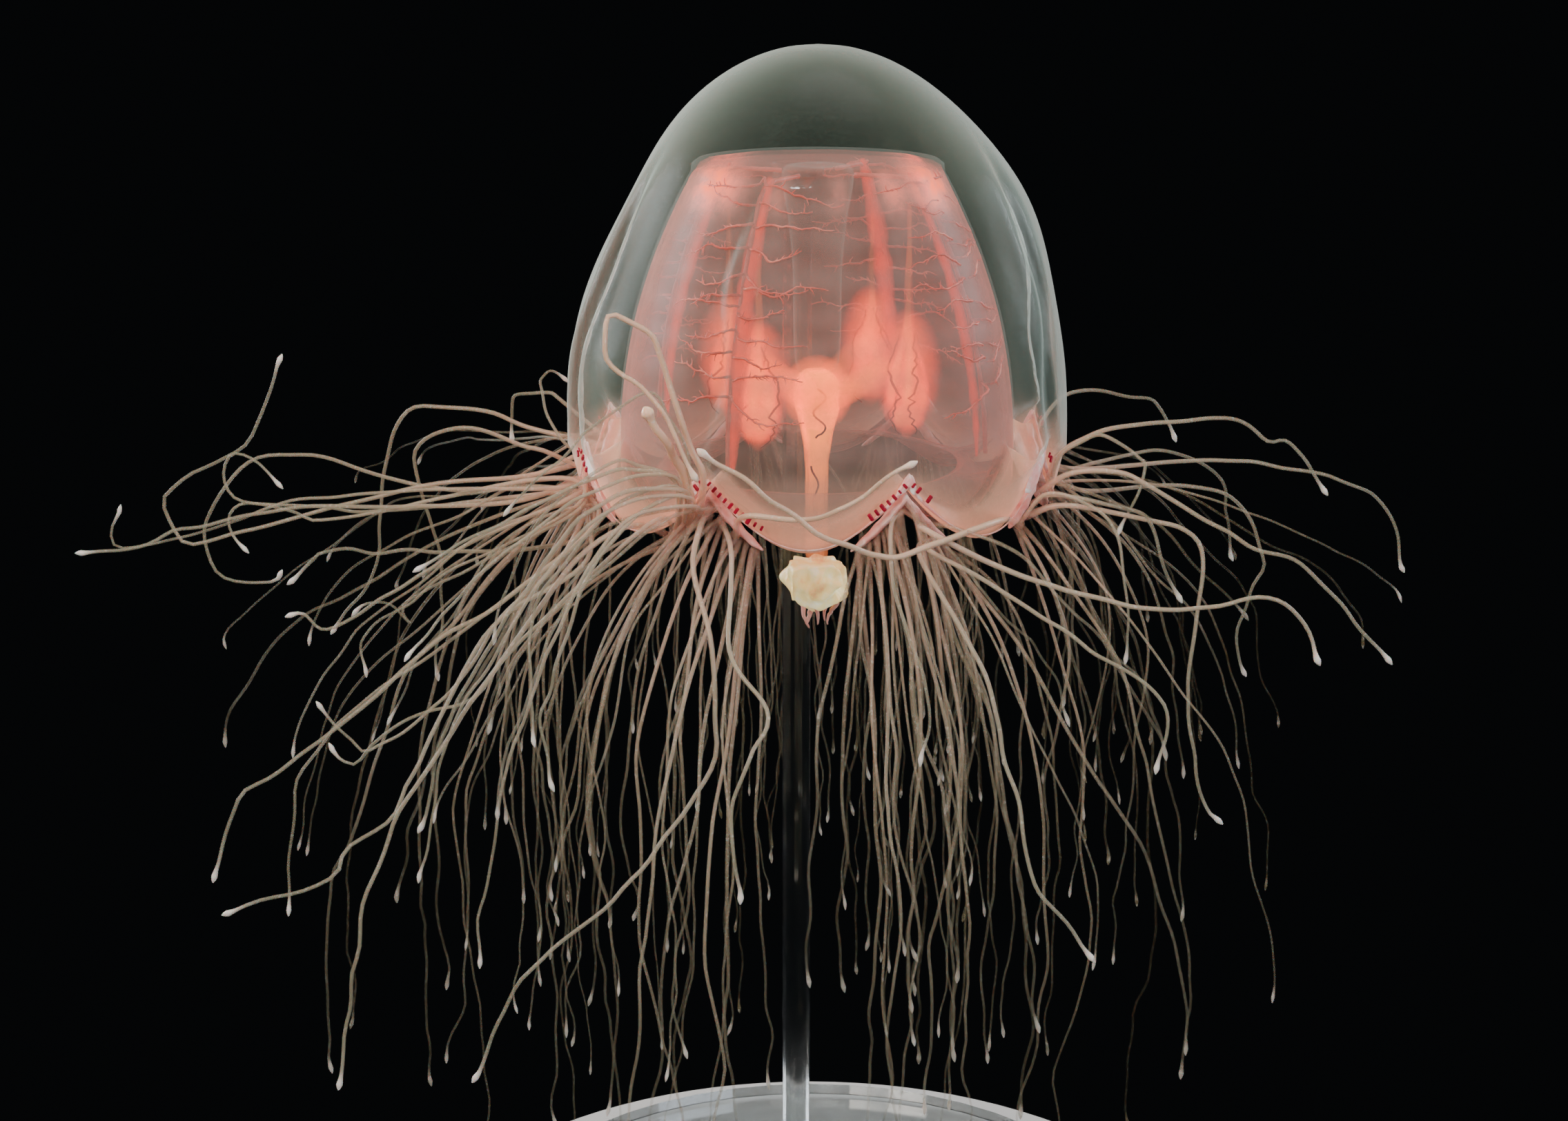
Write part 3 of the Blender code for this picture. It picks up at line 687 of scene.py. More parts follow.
def canalAngle(index):
    return canals["first"] + 360 / canals["count"] * index


def wallPoint(angle, z, inset):
    return around(angle, cavityRadius(z) - inset, z)


# how far a step of a branch climbs, and how far it turns round the bell
def branchStep(step, heading, side, z):
    turn = side * step * cos(radians(heading)) / cavityRadius(z) * 180 / pi
    return step * sin(radians(heading)), turn


def branchRoutes(angle, z, side, dice):
    length = canals["branch"] * dice.uniform(0.6, 1.15) * (0.7 + 0.3 * cavityRadius(z) / cavity["radius"])
    heading = dice.uniform(-14, 14)
    points, radii, routes = [], [], []
    steps = canals["branchSteps"]
    height, turned = z, angle
    for i in range(steps + 1):
        share = i / steps
        points.append(wallPoint(turned, height, canals["inset"] - canals["rise"] * smooth(share * 7)))
        lump = 1 + 0.45 * noise.noise(Vector((i * 0.7, z * 900, angle)))
        radii.append(canals["branchRadius"] * (1.25 - 0.85 * share) * lump)
        if 3 < i < steps - 2 and dice.random() < canals["twigShare"]:
            routes.append(twigRoute(turned, height, side, heading, dice))
        heading = 0.72 * heading + dice.uniform(-22, 22)
        climb, turn = branchStep(length / steps, heading, side, z)
        height = min(height + climb, cavity["ceiling"] - 1.4 * mm)
        turned += turn
    return routes + [(points, radii)]


def twigRoute(angle, z, side, heading, dice):
    heading += dice.choice((1, -1)) * dice.uniform(30, 65)
    length = dice.uniform(*canals["twigs"]) * mm
    points, radii = [], []
    height, turned = z, angle
    for i in range(6):
        points.append(wallPoint(turned, height, canals["inset"] - canals["rise"]))
        radii.append(canals["twigRadius"] * (1.3 - 0.2 * i))
        heading += dice.uniform(-30, 30)
        climb, turn = branchStep(length / 5, heading, side, z)
        height += climb
        turned += turn
    return points, radii


def addCanal(index, material):
    dice = random.Random(canals["seed"] + index)
    angle = canalAngle(index)
    ceiling = cavity["ceiling"] - canals["inset"]
    points = [around(angle, canals["start"], ceiling), around(angle, 9 * mm, ceiling)]
    points.append(around(angle, cavity["ceilingRadius"] - 2.4 * mm, ceiling - 0.1 * mm))
    points += [wallPoint(angle, z * mm, canals["inset"] + 0.15 * mm) for z in canals["levels"]]
    main = evenPoints(smoothThrough(points), canals["rings"])
    routes = [(main, [canals["radius"] * (0.85 + 0.3 * noise.noise(p * 900)) for p in main])]
    for i in range(canals["branches"]):
        z = canals["foot"] + (canals["top"] - canals["foot"]) * (i + 0.35) / canals["branches"]
        for side in (-1, 1):
            routes += branchRoutes(angle, z + dice.uniform(-0.6, 0.6) * mm, side, dice)
    name = "canal_%d" % (index + 1)
    finishPiece(tubesPiece(routes, 1), "radial_" + name, material, "canal_tissue", name)


def addStreak(index, material):
    levels = canals["streakLevels"]
    points = [wallPoint(canalAngle(index), z * mm, canals["streakInset"]) for z in levels]
    route = evenPoints(smoothThrough(points), 50)
    widths = [canals["streaks"][index] * sqrt(sin(pi * (i + 1) / 52)) for i in range(len(route))]
    radii = [width * (1 + 0.3 * noise.noise(p * 500)) for width, p in zip(widths, route)]
    finishPiece(tubesPiece([(route, radii)], 6), "canal_streak_%d" % (index + 1), material, "canal_tissue")


canalStops = ((0.0, "#bb4a3b"), (0.6, "#d4685a"), (1.0, "#e88c78"))
canalRed = tissueMaterial("canal_wall_tissue", canalStops, 3, 0.4, 0.16, 0.3)
streakRed = hazeMaterial("canal_streak_tissue", ((0.0, "#cc2c18"), (1.0, "#ea3c24")), 0.75, 1.8, 0.85)
for number in range(canals["count"]):
    addCanal(number, canalRed)
    addStreak(number, streakRed)
print("canals")


# gonads: a sac that swells from a thin neck and hangs free, with dark vessels over its lower half
# and a faint glowing halo around it, painted light for the glow that spreads into the jelly
gonads = {
    "reach": (14.5 * mm, 11.8 * mm), "radius": 3.0 * mm, "necks": (0.3 * mm, 1.05 * mm),
    "neckLength": 17 * mm, "top": 141 * mm, "middle": 118.8 * mm, "foot": 113 * mm, "spread": 4.7 * mm,
    "belly": 5.6 * mm, "fold": 0.07, "coils": 4, "knobs": 0.3, "slim": 0.86, "wallGap": 2.4 * mm,
    "vessels": 3, "vesselRadius": 0.15 * mm, "vesselTop": 125.5 * mm, "vesselFall": 11.5 * mm,
    "halo": 1.4, "haloHeight": 7.4 * mm, "haloLift": 2.4 * mm, "rings": 90, "segments": 40, "seed": 5,
}


def gonadRadius(z):
    narrow, wide = gonads["necks"]
    neck = narrow + (wide - narrow) * clamp((gonads["top"] - z) / gonads["neckLength"]) ** 1.5
    off = z - gonads["middle"]
    bulge = exp(-(off / gonads["spread"]) ** 2.5) if off > 0 else exp(-(-off / gonads["belly"]) ** 6)
    return neck + (gonads["radius"] - neck) * bulge


def gonadCentre(index, z):
    reach = gonads["reach"][index % 2]
    room = cavityRadius(z) - gonads["wallGap"] - 1.08 * gonadRadius(z)
    return around(canalAngle(index), min(reach, room), z)


def gonadSurface(index, angle, z, lift=0.0):
    share = (gonads["top"] - z) / (gonads["top"] - gonads["foot"])
    ends = sqrt(clamp(share * 30)) * sqrt(clamp((1 - share) * 14))
    coil = sin(radians(angle) + 2 * pi * gonads["coils"] * share) * clamp(share * 2 - 0.6)
    turn = Vector((cos(radians(angle)), sin(radians(angle)), 0))
    knobs = noise.noise(turn * 1.3 + Vector((index * 7.3, 0, z * 260)))
    radius = gonads["slim"] * gonadRadius(z) * ends * (1 + gonads["fold"] * coil + gonads["knobs"] * knobs)
    return gonadCentre(index, z) + around(angle, radius + lift, 0)


def addGonad(index, material, haloGlow, dark):
    top, foot, rings = gonads["top"], gonads["foot"], gonads["rings"]
    number = "_%d" % (index + 1)
    profile = [Vector((0, top - (top - foot) * i / rings)) for i in range(rings + 1)]

    def shape(angle, share, point):
        return gonadSurface(index, angle, point.z)

    piece = turnedPiece(profile, rings, gonads["segments"], shape)
    finishPiece(piece, "gonad_sac" + number, material, "gonad_tissue", "gonad" + number)
    dice = random.Random(gonads["seed"] + index)
    routes = []
    for i in range(gonads["vessels"]):
        turned = 120 * i + dice.uniform(-30, 30) + (180 if index in (1, 2) else 0)  # towards the front
        points, radii = [], []
        for k in range(26):
            turned += dice.uniform(-16, 16)
            z = gonads["vesselTop"] - gonads["vesselFall"] * k / 25
            points.append(gonadSurface(index, turned, z, 0.05 * mm))
            radii.append(gonads["vesselRadius"] * (1 - 0.4 * abs(k - 12) / 12))
        routes.append((points, radii))
    finishPiece(tubesPiece(routes, 1), "gonad_vessels" + number, dark, "gonad_tissue")
    # the halo is painted light: a glow round the sac
    middle = gonadCentre(index, gonads["middle"] + gonads["haloLift"])
    reach = gonads["halo"] * gonads["radius"]
    addGlowHalo("gonad_veil" + number, middle, reach, gonads["haloHeight"], haloGlow, "gonad_tissue")


# a soft glowing halo round an organ: painted light for the glow that spreads into the jelly
def addGlowHalo(name, centre, radius, height, material, slot):
    size = Vector((radius, radius, height))
    finishPiece(moved(sphere(48, 32), lambda co: centre + co * size), name, material, slot)


# peduncle, stomach, manubrium and mouth; profiles are (radius, height below the top) in mm
peduncle = {"radius": 4 * mm, "low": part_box("peduncle")[0][2], "high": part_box("peduncle")[1][2]}
stomach = {
    "top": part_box("stomach")[1][2], "foot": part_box("stomach")[0][2], "corners": 4, "corner": 0.1,
    "pleats": 12, "pleat": 0.05, "lump": 0.08, "slim": 0.94,
    "profile": ((0, 0), (1.7, 0.3), (2.8, 1.9), (2.7, 4.8), (1.75, 9), (1.4, 14)),
    "vessels": ((118.5, 112.5, 6), (109, 101.5, -8), (116, 110, 170)), "vesselRadius": 0.12 * mm,
    "halo": (4.3 * mm, 4.6 * mm), "haloDrop": 3 * mm, "rings": 80, "segments": 48,
}
mouth = {
    "radius": 3.5 * mm, "centre": 94.7 * mm, "flatness": 0.92, "frills": 8, "frill": 0.08,
    "crumple": 0.6 * mm, "crumpleScale": 380,
    "lips": 6, "lip": 3.2 * mm, "lipRadius": 0.42 * mm, "lipDrop": 1.8 * mm, "seed": 3,
}


def addPeduncle(material):
    low, high, radius = peduncle["low"], peduncle["high"], peduncle["radius"]
    points = [(0, high), (radius, high), (0.85 * radius, high - 6 * mm), (0.72 * radius, (low + high) / 2)]
    points += [(0.62 * radius, low), (0, low)]
    piece = turnedPiece(smoothThrough(points), 50, 48, lambda angle, share, point: point)
    paint(piece, "skin", lambda point: jelly["peduncle"])
    finishPiece(piece, "peduncle_jelly", material, "bell_jelly", "peduncle")


def addStomach(material, dark):
    top, foot = stomach["top"], stomach["foot"]
    profile = [(radius * mm, top - drop * mm) for radius, drop in stomach["profile"]]
    profile += [(1.4 * mm, foot + 2 * mm), (1.2 * mm, foot), (0, foot)]

    def shape(angle, share, point):
        corner = 1 + stomach["corner"] * cos(radians(stomach["corners"] * (angle - canals["first"])))
        pleats = sin(radians(stomach["pleats"] * angle)) * smooth((share - 0.4) * 4)
        lump = 1 + stomach["lump"] * noise.noise(Vector((angle * 0.03, point.z * 500, 3)))
        radius = radiusOf(point) * corner * (1 + stomach["pleat"] * pleats) * lump * stomach["slim"]
        return around(angle, radius, point.z)

    piece = turnedPiece(smoothThrough(profile), stomach["rings"], stomach["segments"], shape)
    finishPiece(piece, "stomach_and_manubrium", material, "stomach_tissue", "stomach")
    routes = []
    for first, last, turned in stomach["vessels"]:
        points = []
        for k in range(20):
            z = (first + (last - first) * k / 19) * mm
            radius = 2.66 * mm if z > 113 * mm else 2.0 * mm
            radius -= 0.9 * mm * smooth((112 * mm - z) / (8 * mm))
            points.append(around(turned + 16 * sin(k * 0.55 + turned), radius, z))
        routes.append((points, [stomach["vesselRadius"]] * len(points)))
    finishPiece(tubesPiece(routes, 1), "stomach_vessels", dark, "stomach_tissue")


# four faint arms from the stomach's corners to the gonads
def addArms(material):
    routes = []
    for index in range(canals["count"]):
        angle = canalAngle(index)
        gonad = gonadCentre(index, gonads["middle"] + 2 * mm)
        top = stomach["top"]
        points = [around(angle, 1.2 * mm, top - 3.4 * mm), around(angle, 5 * mm, top - 1.6 * mm)]
        route = evenPoints(smoothThrough(points + [gonad - around(angle, 3.4 * mm, 0), gonad]), 30)
        routes.append((route, [(2.3 - 0.5 * sin(pi * i / 29)) * mm for i in range(len(route))]))
    finishPiece(tubesPiece(routes, 8), "stomach_arms", material, "stomach_tissue")


def crumpled(co):
    x, y, z = co
    frill = 1 + mouth["frill"] * cos(mouth["frills"] * atan2(y, x))
    at = co * mouth["crumpleScale"]
    crumple = noise.noise(at) * 0.8 + noise.noise(at * 2.3) * 0.45
    crease = -abs(noise.noise(at * 1.2 + Vector((5, 2, 9))))
    outward = co.normalized() * mouth["crumple"] * (crumple + 2.4 * crease + 0.9)
    point = Vector((x * frill, y * frill, mouth["flatness"] * z)) + outward
    return Vector((point.x, point.y, min(point.z + mouth["centre"], mouthBox[1][2])))


def addMouth(material, lipSkin):
    ball = primitive(bpy.ops.mesh.primitive_ico_sphere_add, subdivisions=6, radius=mouth["radius"])
    finishPiece(moved(ball, crumpled), "frilled_mouth", material, "mouth_tissue", "mouth")
    dice = random.Random(mouth["seed"])
    routes = []
    for i in range(mouth["lips"]):
        angle = 360 * i / mouth["lips"] + dice.uniform(-14, 14)
        reach = dice.uniform(0.8, 2.6) * mm
        length = mouth["lip"] * dice.uniform(0.6, 1.0)
        points, radii = [], []
        for k in range(13):
            share = k / 12
            bend = (0.45 * sin(4.4 * share + i) + dice.uniform(-0.1, 0.1)) * mm
            z = mouth["centre"] - mouth["lipDrop"] - (1.3 * mm + length) * share
            points.append(around(angle + 22 * share, reach * (1 - 0.3 * share) + bend, z))
            radii.append(mouth["lipRadius"] * (1 - 0.8 * share))
        routes.append((points, radii))
    finishPiece(tubesPiece(routes, 2), "mouth_lips", lipSkin, "mouth_tissue")


sacGlow = ((0.0, "#c02812"), (0.4, "#f04a1c"), (1.0, "#ff7a32"))
sacEnds = (112.5 * mm, 121 * mm, 121.5 * mm, 128 * mm)
gonadOrange = hazeMaterial("gonad_sac_tissue", sacGlow, 1.9, 3.2, 3.0, ends=sacEnds)
gonadThin = hazeMaterial("gonad_thin_tissue", sacGlow, 0.7, 2.6, 2.6, ends=sacEnds)
gonadHaze = hazeMaterial("gonad_veil_tissue", ((0.0, "#cc2c10"), (1.0, "#ff5416")), 0.6, 3.0, 1.8)
stomachHaze = hazeMaterial("stomach_glow_haze", ((0.0, "#ec6020"), (1.0, "#ff7620")), 0.7, 2.0, 1.8)
stomachGlow = ((0.0, "#95502e"), (0.45, "#cc662c"), (0.75, "#ff7c22"), (1.0, "#ff8e34"))
stomachEnds = (84 * mm, 112 * mm, 140 * mm, 150 * mm)
stomachWall = hazeMaterial(
    "stomach_wall_tissue", stomachGlow, 1.25, 1.5, 2.7, (99 * mm, 119 * mm), stomachEnds)
vesselDark = tissueMaterial("vessel_blood_red", ((0.0, "#6d1f18"), (1.0, "#92352a")), 2, 0.4, 0.0, 0.2)
for number in range(canals["count"]):
    addGonad(number, gonadOrange if number < 2 else gonadThin, gonadHaze, vesselDark)
addPeduncle(bellPiece.data.materials[0])
addStomach(stomachWall, vesselDark)
# the stomach's glowing halo is painted light too
haloCentre = Vector((0, 0, stomach["top"] - stomach["haloDrop"]))
addGlowHalo("stomach_veil", haloCentre, *stomach["halo"], stomachHaze, "stomach_tissue")
addArms(stomachHaze)
lipStops = ((0.0, "#e6ac72"), (0.35, "#fbd88c"), (0.7, "#ffeeb0"), (1.0, "#fffbe0"))
frillSkin = tissueMaterial("mouth_lip_tissue", lipStops, 2.6, 0.35, 0.5)
pointSkin = tissueMaterial("mouth_lip_points", ((0.0, "#e0958a"), (1.0, "#f2c3b2")), 2, 0.35, 0.05)
addMouth(frillSkin, pointSkin)
print("inner organs")


# the clusters on the rim: pads, fleshy margin and eye spots
pads = {
    "distance": 27.3 * mm, "spread": 12.5, "halfDepth": 2.3 * mm, "halfHeight": 1.7 * mm, "gap": 0.3 * mm,
    "slim": 0.42, "lift": 0.4, "folds": 24, "fold": 0.12, "grain": 0.1,
    "band": 0.09 * mm, "flesh": 0.3 * mm, "fleshSpread": 6.0, "flapDepth": 0.3 * mm,
}
spots = {
    "wide": 0.48 * mm, "deep": 0.34 * mm, "tall": 1.0 * mm, "bevel": 0.14 * mm, "pitch": 0.83 * mm,
    "missing": 0.13, "lift": 0.75 * mm, "out": 0.42 * mm,
}


def clusterAngle(cluster):
    return bell["notch"] + 360 / bell["lobes"] * cluster


def padHeight(across):
    margin = bell["rim"] - bell["lobeDrop"] * lobeWave(bell["notch"] + across * pads["spread"])
    return margin - pads["gap"] - pads["halfHeight"]


# where a tentacle leaves its pad
def padPoint(cluster, across):
    angle = clusterAngle(cluster) + 0.85 * across * pads["spread"]
    bow = 0.5 * pads["halfDepth"] * sqrt(1 - min(across * across, 1))
    return around(angle, pads["distance"] + bow, padHeight(0.85 * across))


def rimPoint(angle, lift, out):
    z = bell["rim"] + lift
    return around(angle, bell["rimRadius"] + out, z - marginDrop(angle, z))


def addPad(cluster):
    def shape(co):
        x, y, z = co
        grain = noise.noise(co * 3 + Vector((cluster, 0, 0)))
        folds = pads["slim"] * (1 + pads["fold"] * cos(x * pads["folds"]) + pads["grain"] * grain)
        height = padHeight(x) + (z * folds + pads["lift"]) * pads["halfHeight"]
        angle = clusterAngle(cluster) + x * pads["spread"]
        return around(angle, pads["distance"] - y * pads["halfDepth"] * folds, height)

    return faceOutward(moved(sphere(64, 24), shape))


# the lobes' thickened edge, from the middle of one lobe over the notch to the middle of the next
def addMargin(cluster):
    middle = clusterAngle(cluster)
    route = evenPoints([rimPoint(middle - 22.5 + i / 4, 0.25 * mm, -0.35 * mm) for i in range(181)], 120)
    radii = []
    for point in route:
        near = hump(turnBetween(middle, angleOf(point)), pads["fleshSpread"])
        swell = (pads["flesh"] - pads["band"]) * near
        radii.append((pads["band"] + swell) * (1 + 0.25 * noise.noise(point * 700)))
    return tubesPiece([(route, radii)], 3)


# the thin fleshy flaps on the lobes' edges: for each cluster, place and half length round the
# bell from the notch (degrees), lift and half width (mm)
flaps = [
    (4.6, 3.6, 1.3, 1.15), (-4.0, 2.2, 0.9, 0.5), (-0.4, 2.3, 0.7, 0.75), (-5.2, 5.2, 1.1, 0.85),
    (4.2, 3.2, 1.0, 0.7), (-4.4, 3.4, 1.0, 0.7), (4.6, 3.0, 1.0, 0.7), (-4.6, 3.6, 1.1, 0.8),
]


def addFlap(cluster):
    place, reach, lift, width = flaps[cluster]

    def shape(co):
        x, y, z = co
        swell = 1 + 0.4 * noise.noise(co * 1.8 + Vector((cluster * 3, 0, 0)))
        narrow = 1 - 0.5 * x if place > 0 else 1 + 0.5 * x
        depth = 0.1 * mm + pads["flapDepth"] * y * swell
        height = (lift + width * z * swell * narrow) * mm
        return rimPoint(clusterAngle(cluster) + place + reach * x, height, depth)

    return faceOutward(moved(sphere(48, 24), shape))


def spotPiece():
    piece = primitive(bpy.ops.mesh.primitive_cube_add, size=1)
    size = Vector((spots["wide"], spots["deep"], spots["tall"]))
    for vertex in piece.data.vertices:
        vertex.co = vertex.co * size
    bevel = piece.modifiers.new("soft", "BEVEL")
    bevel.width = spots["bevel"]
    bevel.segments = 2
    activate(piece)
    bpy.ops.object.modifier_apply(modifier="soft")
    return piece


# a row of eye spots runs down each lobe's edge, from the notch: how many show on each side
spotRows = [(2, 4), (4, 10), (7, 4), (2, 3), (3, 2), (7, 7), (7, 7), (4, 2)]


def addSpots(cluster, template, dice):
    pieces = []
    for side, count in zip((-1, 1), spotRows[cluster]):
        angles = [clusterAngle(cluster) + side * (1.0 + 0.2 * i) for i in range(100)]
        fine = [rimPoint(angle, spots["lift"], spots["out"]) for angle in angles]
        steps = int(sum((b - a).length for a, b in zip(fine, fine[1:])) / spots["pitch"])
        route = evenPoints(fine, steps)
        for i in range(count):
            here, ahead = route[i], route[i + 1]
            along = (ahead - here).normalized()
            outward = Vector((here.x, here.y, 0)).normalized()
            up = outward.cross(along).normalized()
            turn = Matrix((along, along.cross(up), up)).transposed()
            size = (1.0 - 0.6 * abs(i / count - 0.6)) * dice.uniform(0.7, 1.1)
            if dice.random() < spots["missing"]:
                continue
            piece = placeObject("spot", template.data.copy())
            for vertex in piece.data.vertices:
                vertex.co = here + turn @ (vertex.co * size)
            pieces.append(piece)
    return pieces


# tentacles
# a posed tentacle: cluster, place across its pad, and the points (mm) that it passes through
posed = {
    "far_left": (0, 0.1, [(-36.5, -12, 107), (-61, -14.5, 107), (-75.5, -15.5, 103.5), (-80, -16, 102),
        (-84.5, -16, 102)]),
    "diagonal_high": (0, -0.45, [(-25, -20, 106.5), (-35.5, -26.5, 99), (-42, -29, 95.5), (-53.5, -34, 86),
        (-60.5, -37.5, 82.5), (-62.5, -38.5, 80.5), (-65, -40, 71.5)]),
    "diagonal_low": (0, -0.8, [(-25.5, -28, 104.5), (-34.5, -31.5, 99), (-40, -35, 90.5),
        (-43.5, -38, 83.5), (-46.5, -40.5, 79), (-50.5, -43, 77), (-51.5, -45, 75), (-55.5, -46.5, 73.5),
        (-59.5, -47.5, 73), (-63, -48, 71.5)]),
    "riser": (7, 0.5, [(-35.5, 6, 106), (-49.5, 6, 104.5), (-74.5, 5.5, 98), (-78.5, 5.5, 99),
        (-79.5, 5.5, 102.5), (-78, 5.5, 105), (-70, 5, 109.5), (-67.5, 5, 112.5), (-65.5, 5, 118.5),
        (-64, 5, 121)]),
    "hook": (7, -0.2, [(-39, 13, 103), (-47.5, 12.5, 103), (-55.5, 12.5, 105), (-61, 12, 107),
        (-66, 12, 107.5), (-71, 12, 106), (-74, 11.5, 102.5), (-76.5, 11.5, 98.5), (-76.5, 11.5, 95),
        (-74.5, 11, 92), (-71.5, 11, 91), (-68, 11, 91.5), (-66.5, 11, 93)]),
    "arch": (7, -0.5, [(-36, 18, 109.5), (-41, 18.5, 111.5), (-48, 19.5, 112), (-51.5, 20, 111.5),
        (-53.5, 20.5, 108), (-55.5, 21.5, 101.5), (-57, 22.5, 90.5), (-63.5, 23, 81)]),
    "bow": (7, -0.85, [(-31.5, 17, 113), (-33.5, 18, 114), (-37.5, 20, 113.5), (-38.5, 20.5, 112),
        (-38.5, 21, 107)]),
    "long_front": (1, -0.9, [(-20, -30, 109), (-25, -33.5, 107), (-29.5, -37, 102), (-42.5, -42.5, 84),
        (-46, -44.5, 77), (-48.5, -46.5, 69), (-51.5, -48, 51.5)]),
    "loop": (1, -0.2, [(-12.5, -30, 114.5), (-14, -30.5, 118), (-17, -32, 128), (-18, -32.5, 130.5),
        (-21.5, -33, 132.5), (-22.5, -33.5, 132), (-22.5, -34, 128.5), (-21, -34, 126.5), (-17, -34.5, 123),
        (-13, -35, 115)]),
    "stub": (1, -0.4, [(-14.5, -30, 114), (-16.5, -35, 119), (-18.5, -37, 123.5)]),
    "crossing": (2, 0.5, [(11, -34, 109.5), (19, -32.5, 105), (27, -32, 102), (38, -31, 100),
        (50, -30.5, 100.5), (54.5, -30, 93.5)]),
    "raised": (1, 0.6, [(-8, -32, 110.5), (-2, -33.5, 110.5), (2, -35, 112), (10, -36, 117.5)]),
    "sweep": (1, 0.05, [(-13, -34, 109), (-13.5, -36, 105.5), (-11.5, -40, 99), (-11, -41.5, 91.5),
        (-12, -43, 85), (-21, -47, 73.5), (-29, -48.5, 67), (-32, -49.5, 63.5), (-37, -50, 54)]),
    "curl": (2, 0.8, [(10.5, -34, 106.5), (17, -44, 96.5), (18.5, -49, 89.5), (20, -51.5, 85.5),
        (21.5, -54.5, 78), (27.5, -56, 70)]),
    "high_right": (3, 0.3, [(27.5, -10, 112), (30.5, -9.5, 114), (35.5, -9, 115.5), (48, -8.5, 116),
        (52, -8.5, 113.5), (55, -8, 113.5), (59, -8, 107)]),
    "low_right": (3, -0.3, [(28.5, -16, 111.5), (33.5, -17.5, 112), (36.5, -19, 111), (46.5, -22.5, 105.5),
        (54.5, -24.5, 102), (63, -27, 92.5)]),
    "bend_right": (3, -0.75, [(28, -17, 108), (38, -19, 106.5), (40.5, -20, 106), (42.5, -20.5, 104),
        (42.5, -22, 99), (41.5, -24, 88), (43.5, -25, 75.5), (45.5, -25, 72.5)]),
    "far_right": (4, -0.3, [(32, 10, 106), (50, 12.5, 106.5), (64.5, 14, 104), (72.5, 15.5, 99),
        (75.5, 16, 91)]),
    "back_right": (4, 0.3, [(33, 16, 102), (45.5, 18, 102), (54, 20, 99.5), (57.5, 21.5, 93),
        (58, 22, 89.5), (55.5, 23.5, 81), (57, 24, 74.5)]),
    "back_arc": (4, 0.7, [(32, 20, 113.5), (41.5, 21.5, 112.5), (44, 21.5, 111), (46.5, 22, 106.5)]),
    "draped": (3, -0.9, [(19.5, -28, 109), (13.5, -34.5, 108.5), (8.5, -38, 107.5), (6, -39.5, 108),
        (3.5, -41, 109), (-2, -43.5, 113), (-12.5, -46, 121)]),
}
# a drooping tentacle: cluster, place across, turn and slope (degrees), reach and fall (mm)
drooping = [
    (0, 0.6, 30, -30, 20, 84),
    (7, -0.95, -28, -40, 15, 90), (7, 0.9, 32, -20, 33, 72),
    (1, -0.7, -22, -45, 9, 72), (1, 0.95, 12, -52, 16, 90),
    (2, -0.8, -16, -55, 12, 91), (2, -0.3, -6, -25, 27, 68), (2, 0.2, 6, -60, 14, 89),
    (2, 0.95, 30, -45, 12, 80),
    (3, -0.98, -26, -55, 10, 86),
    (4, -0.8, -14, -55, 15, 88), (4, 0.75, 20, -10, 38, 60),
    (5, -0.8, -24, -48, 16, 88), (5, -0.35, -10, 8, 47, 34), (5, 0.1, 3, -20, 33, 64),
    (5, 0.6, 15, -55, 12, 92),
    (6, -0.85, -22, -10, 36, 60), (6, -0.4, -9, -50, 14, 90), (6, 0.05, 2, 10, 49, 30),
    (6, 0.8, 26, -55, 13, 90),
]
